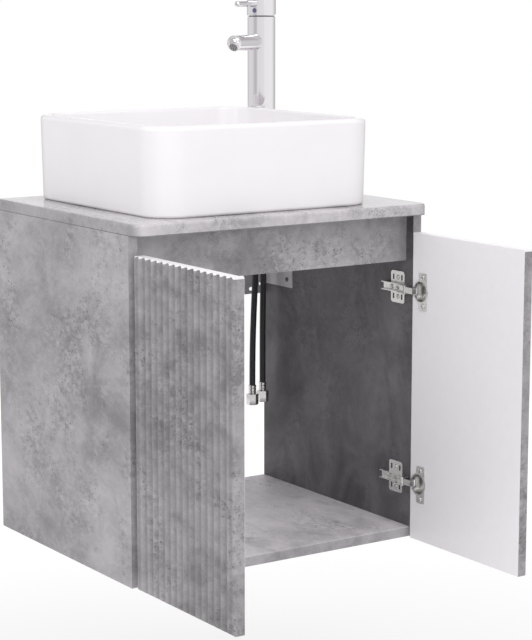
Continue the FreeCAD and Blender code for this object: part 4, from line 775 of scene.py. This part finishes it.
settle(shape, "tap_mark", blue, "tap_handle", "grey_plastic")

# %% [markdown]
# ## The dome under the tap's cap
# The cap tilts when the lever is lifted, so its underside is cut back behind and leaves a wedge open. On
# such a tap a polished dome over the cartridge closes the view through it. A ball about the tilt axis stays
# clear of the cap at every angle, so the dome is a zone of that ball, with a bore for the stem: an arc that
# is spun.

# %% Cartridge dome
DOME_RADIUS, DOME_POINTS = 0.018, 9
SEAT_GAP, STEM_GAP, DOME_DROP = 0.0002, 0.0004, 0.0030
DOME_LOW, DOME_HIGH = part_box("cartridge")[1].z + SEAT_GAP, TILT_POINT.z - DOME_DROP
STEM_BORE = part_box("cartridge_stem")[1].x - TAP_AXIS.x + STEM_GAP
start, end = [math.asin((height - TILT_POINT.z) / DOME_RADIUS) for height in (DOME_LOW, DOME_HIGH)]
angles = [start + (end - start) * step / (DOME_POINTS - 1) for step in range(DOME_POINTS)]
arc = [(DOME_RADIUS * math.cos(angle), TILT_POINT.z + DOME_RADIUS * math.sin(angle)) for angle in angles]
shape = bmesh.new()
turn_profile(shape, arc + [(STEM_BORE, DOME_HIGH), (STEM_BORE, DOME_LOW), arc[0]], steps=48)
stand_copies(shape, [Matrix.Translation(TAP_AXIS)])
settle(shape, "cartridge_dome", chrome, "tap_stem", "chrome")

# %% [markdown]
# ## What the mirrors see
# Chrome shows nothing but its room, and in an even white room it would look like white paint. So mirrors find
# some grey bands, as in a real studio. A ramp over the compass bearing, counted from the side of the camera,
# sets how bright each band is. A second ramp, over the height, lays one grey band above the horizon, which
# gives the spout and the lever their shape. The bands' bearings are degrees, and their heights run from the
# horizon, 0, to straight up, 1.

# %% Bands in the mirrors
TO_RIGHT, TO_CAMERA = (0.831, -0.556, 0), (-0.556, -0.831, 0)
BANDS = [(-180, 1.0), (-168, 1.0), (-157, 0.46), (-142, 0.66), (-126, 0.82), (-78, 0.82), (-66, 0.68),
         (-54, 0.57), (-42, 0.60), (-32, 0.86), (0, 0.88), (20, 0.90), (26, 0.97), (72, 1.0), (92, 1.0),
         (108, 0.90), (126, 0.68), (146, 0.56), (158, 0.46), (168, 1.0), (180, 1.0)]
HEIGHT_BANDS = [(0.0, 1.0), (0.22, 1.0), (0.34, 0.80), (0.55, 0.82), (0.72, 1.0)]
room = bpy.data.worlds.new("studio")
room.use_nodes = True
bpy.context.scene.world = room
gaze = add_node(room, "ShaderNodeTexCoord").outputs["Generated"]
gaze_axes = split_axes(room, gaze)


def gaze_along(direction):
    product = add_node(room, "ShaderNodeVectorMath", operation="DOT_PRODUCT")
    join(room, gaze, product.inputs[0])
    product.inputs[1].default_value = direction
    return product.outputs["Value"]


def grey_ramp(value, rows):
    return tint(room, value, [(at, (level, level, level)) for at, level in rows])


bearing = sum_up(room, "ARCTAN2", gaze_along(TO_RIGHT), gaze_along(TO_CAMERA))
part_of_circle = spread(room, bearing, -math.pi, math.pi, 0, 1)
round_bands = grey_ramp(part_of_circle, [((degrees + 180) / 360, level) for degrees, level in BANDS])
height_bands = grey_ramp(gaze_axes["Z"], HEIGHT_BANDS)
bands = mix_colours(room, 1, round_bands, height_bands, blend_type="MULTIPLY")
print("the mirrors' darkest band is", min(level for degrees, level in BANDS))

# %% [markdown]
# ## The studio
# The unit hangs in a white room: a pale floor far below it and even light from all round, a little weaker
# from the side of the wall. The white behind the unit is seen by the camera and by mirrors only, so the
# boards get no more light from it. The Light Path node tells which kind of ray asks.

# %% Studio
WHITE, ROOM_TINT = (1, 1, 1, 1), (1.0, 0.985, 1.0, 1)
LIGHT_IN_FRONT, LIGHT_BEHIND, BEHIND_FROM = 0.90, 0.60, 0.7


def find_rays(finish):
    rays = add_node(finish, "ShaderNodeLightPath").outputs
    mirrored = sum_up(finish, "MAXIMUM", rays["Is Glossy Ray"], rays["Is Transmission Ray"])
    return mirrored, sum_up(finish, "MAXIMUM", rays["Is Camera Ray"], mirrored)


def mix_shaders(finish, share, first, second, output):
    mixed = add_node(finish, "ShaderNodeMixShader")
    for socket, value in zip(mixed.inputs, (share, first, second)):
        join(finish, value, socket)
    join(finish, mixed.outputs[0], finish.node_tree.nodes[output].inputs["Surface"])


ambient = room.node_tree.nodes["Background"]
ambient.inputs["Color"].default_value = ROOM_TINT
even_light = spread(room, gaze_axes["Y"], 0, BEHIND_FROM, LIGHT_IN_FRONT, LIGHT_BEHIND)
join(room, even_light, ambient.inputs["Strength"])
mirrored, seen = find_rays(room)
white = add_node(room, "ShaderNodeBackground")
join(room, mix_colours(room, mirrored, WHITE, bands), white.inputs["Color"])
mix_shaders(room, seen, ambient.outputs[0], white.outputs[0], "World Output")
print("the room's own light is", LIGHT_IN_FRONT, "in front and", LIGHT_BEHIND, "behind")

# %% [markdown]
# ## The lamps
# Three large soft lamps, high on the left, in front and above, only add some shape. They are discs, because
# the reflection of a round lamp on the basin's glaze has no corners, and all three aim at the same point.

# %% Lamps
LAMP_AIM = Vector((0, -0.3, 0))


def hang_lamp(name, place, size, power):
    lamp = bpy.data.lights.new(name, "AREA")
    lamp.shape = "DISK"
    lamp.size = size
    lamp.energy = power
    holder = bpy.data.objects.new(name, lamp)
    holder.location = place
    holder.rotation_euler = (LAMP_AIM - Vector(place)).to_track_quat("-Z", "Y").to_euler()
    bpy.context.collection.objects.link(holder)
    print(name, power, "W")


hang_lamp("key_lamp", (-2.75, -1.35, 1.7), size=1.4, power=24)
hang_lamp("front_lamp", (-0.3, -3.3, 1.3), size=1.6, power=4)
hang_lamp("top_lamp", (0.0, -1.7, 2.3), size=1.2, power=15)

# %% [markdown]
# ## The floor
# The floor is a plain pale disc well below the unit. What the camera sees of it is mostly white, with a
# share of its own shading, so that the unit's shadow stays. That share fades out a step away from the unit,
# and the floor runs into the white room without an edge.

# %% Floor
FLOOR_MIDDLE, FLOOR_RADIUS = (0, -0.35, -0.75), 3.2
FLOOR_COLOUR, FLOOR_GLOW = (0.82, 0.82, 0.82, 1), 1.1
WHITE_NEAR, WHITE_FAR, FADE_FROM, FADE_TO = 0.56, 1.0, 0.7, 2.2
shape = bmesh.new()
bmesh.ops.create_circle(shape, cap_ends=True, segments=96, radius=FLOOR_RADIUS)
bmesh.ops.translate(shape, verts=shape.verts, vec=FLOOR_MIDDLE)
mesh = bpy.data.meshes.new("studio_floor")
shape.to_mesh(mesh)
shape.free()
floor = bpy.data.objects.new("studio_floor", mesh)
bpy.context.collection.objects.link(floor)
floor_paint, shader, place = start_finish("floor_paint", Base_Color=FLOOR_COLOUR, Roughness=0.9)
glow = add_node(floor_paint, "ShaderNodeEmission")
glow.inputs["Strength"].default_value = FLOOR_GLOW
reach = add_node(floor_paint, "ShaderNodeVectorMath", operation="DISTANCE")
join(floor_paint, place, reach.inputs[0])
reach.inputs[1].default_value = FLOOR_MIDDLE
whitened = spread(floor_paint, reach.outputs["Value"], FADE_FROM, FADE_TO, WHITE_NEAR, WHITE_FAR)
share = sum_up(floor_paint, "MULTIPLY", find_rays(floor_paint)[1], whitened)
mix_shaders(floor_paint, share, shader.outputs[0], glow.outputs[0], "Material Output")
mesh.materials.append(floor_paint)
print("floor lies at", FLOOR_MIDDLE[2])

# %% [markdown]
# ## The colour transform
# The picture uses the plain colour transform, in which a colour shows about as it is written.

# %% Finish
bpy.context.scene.view_settings.view_transform = "Standard"
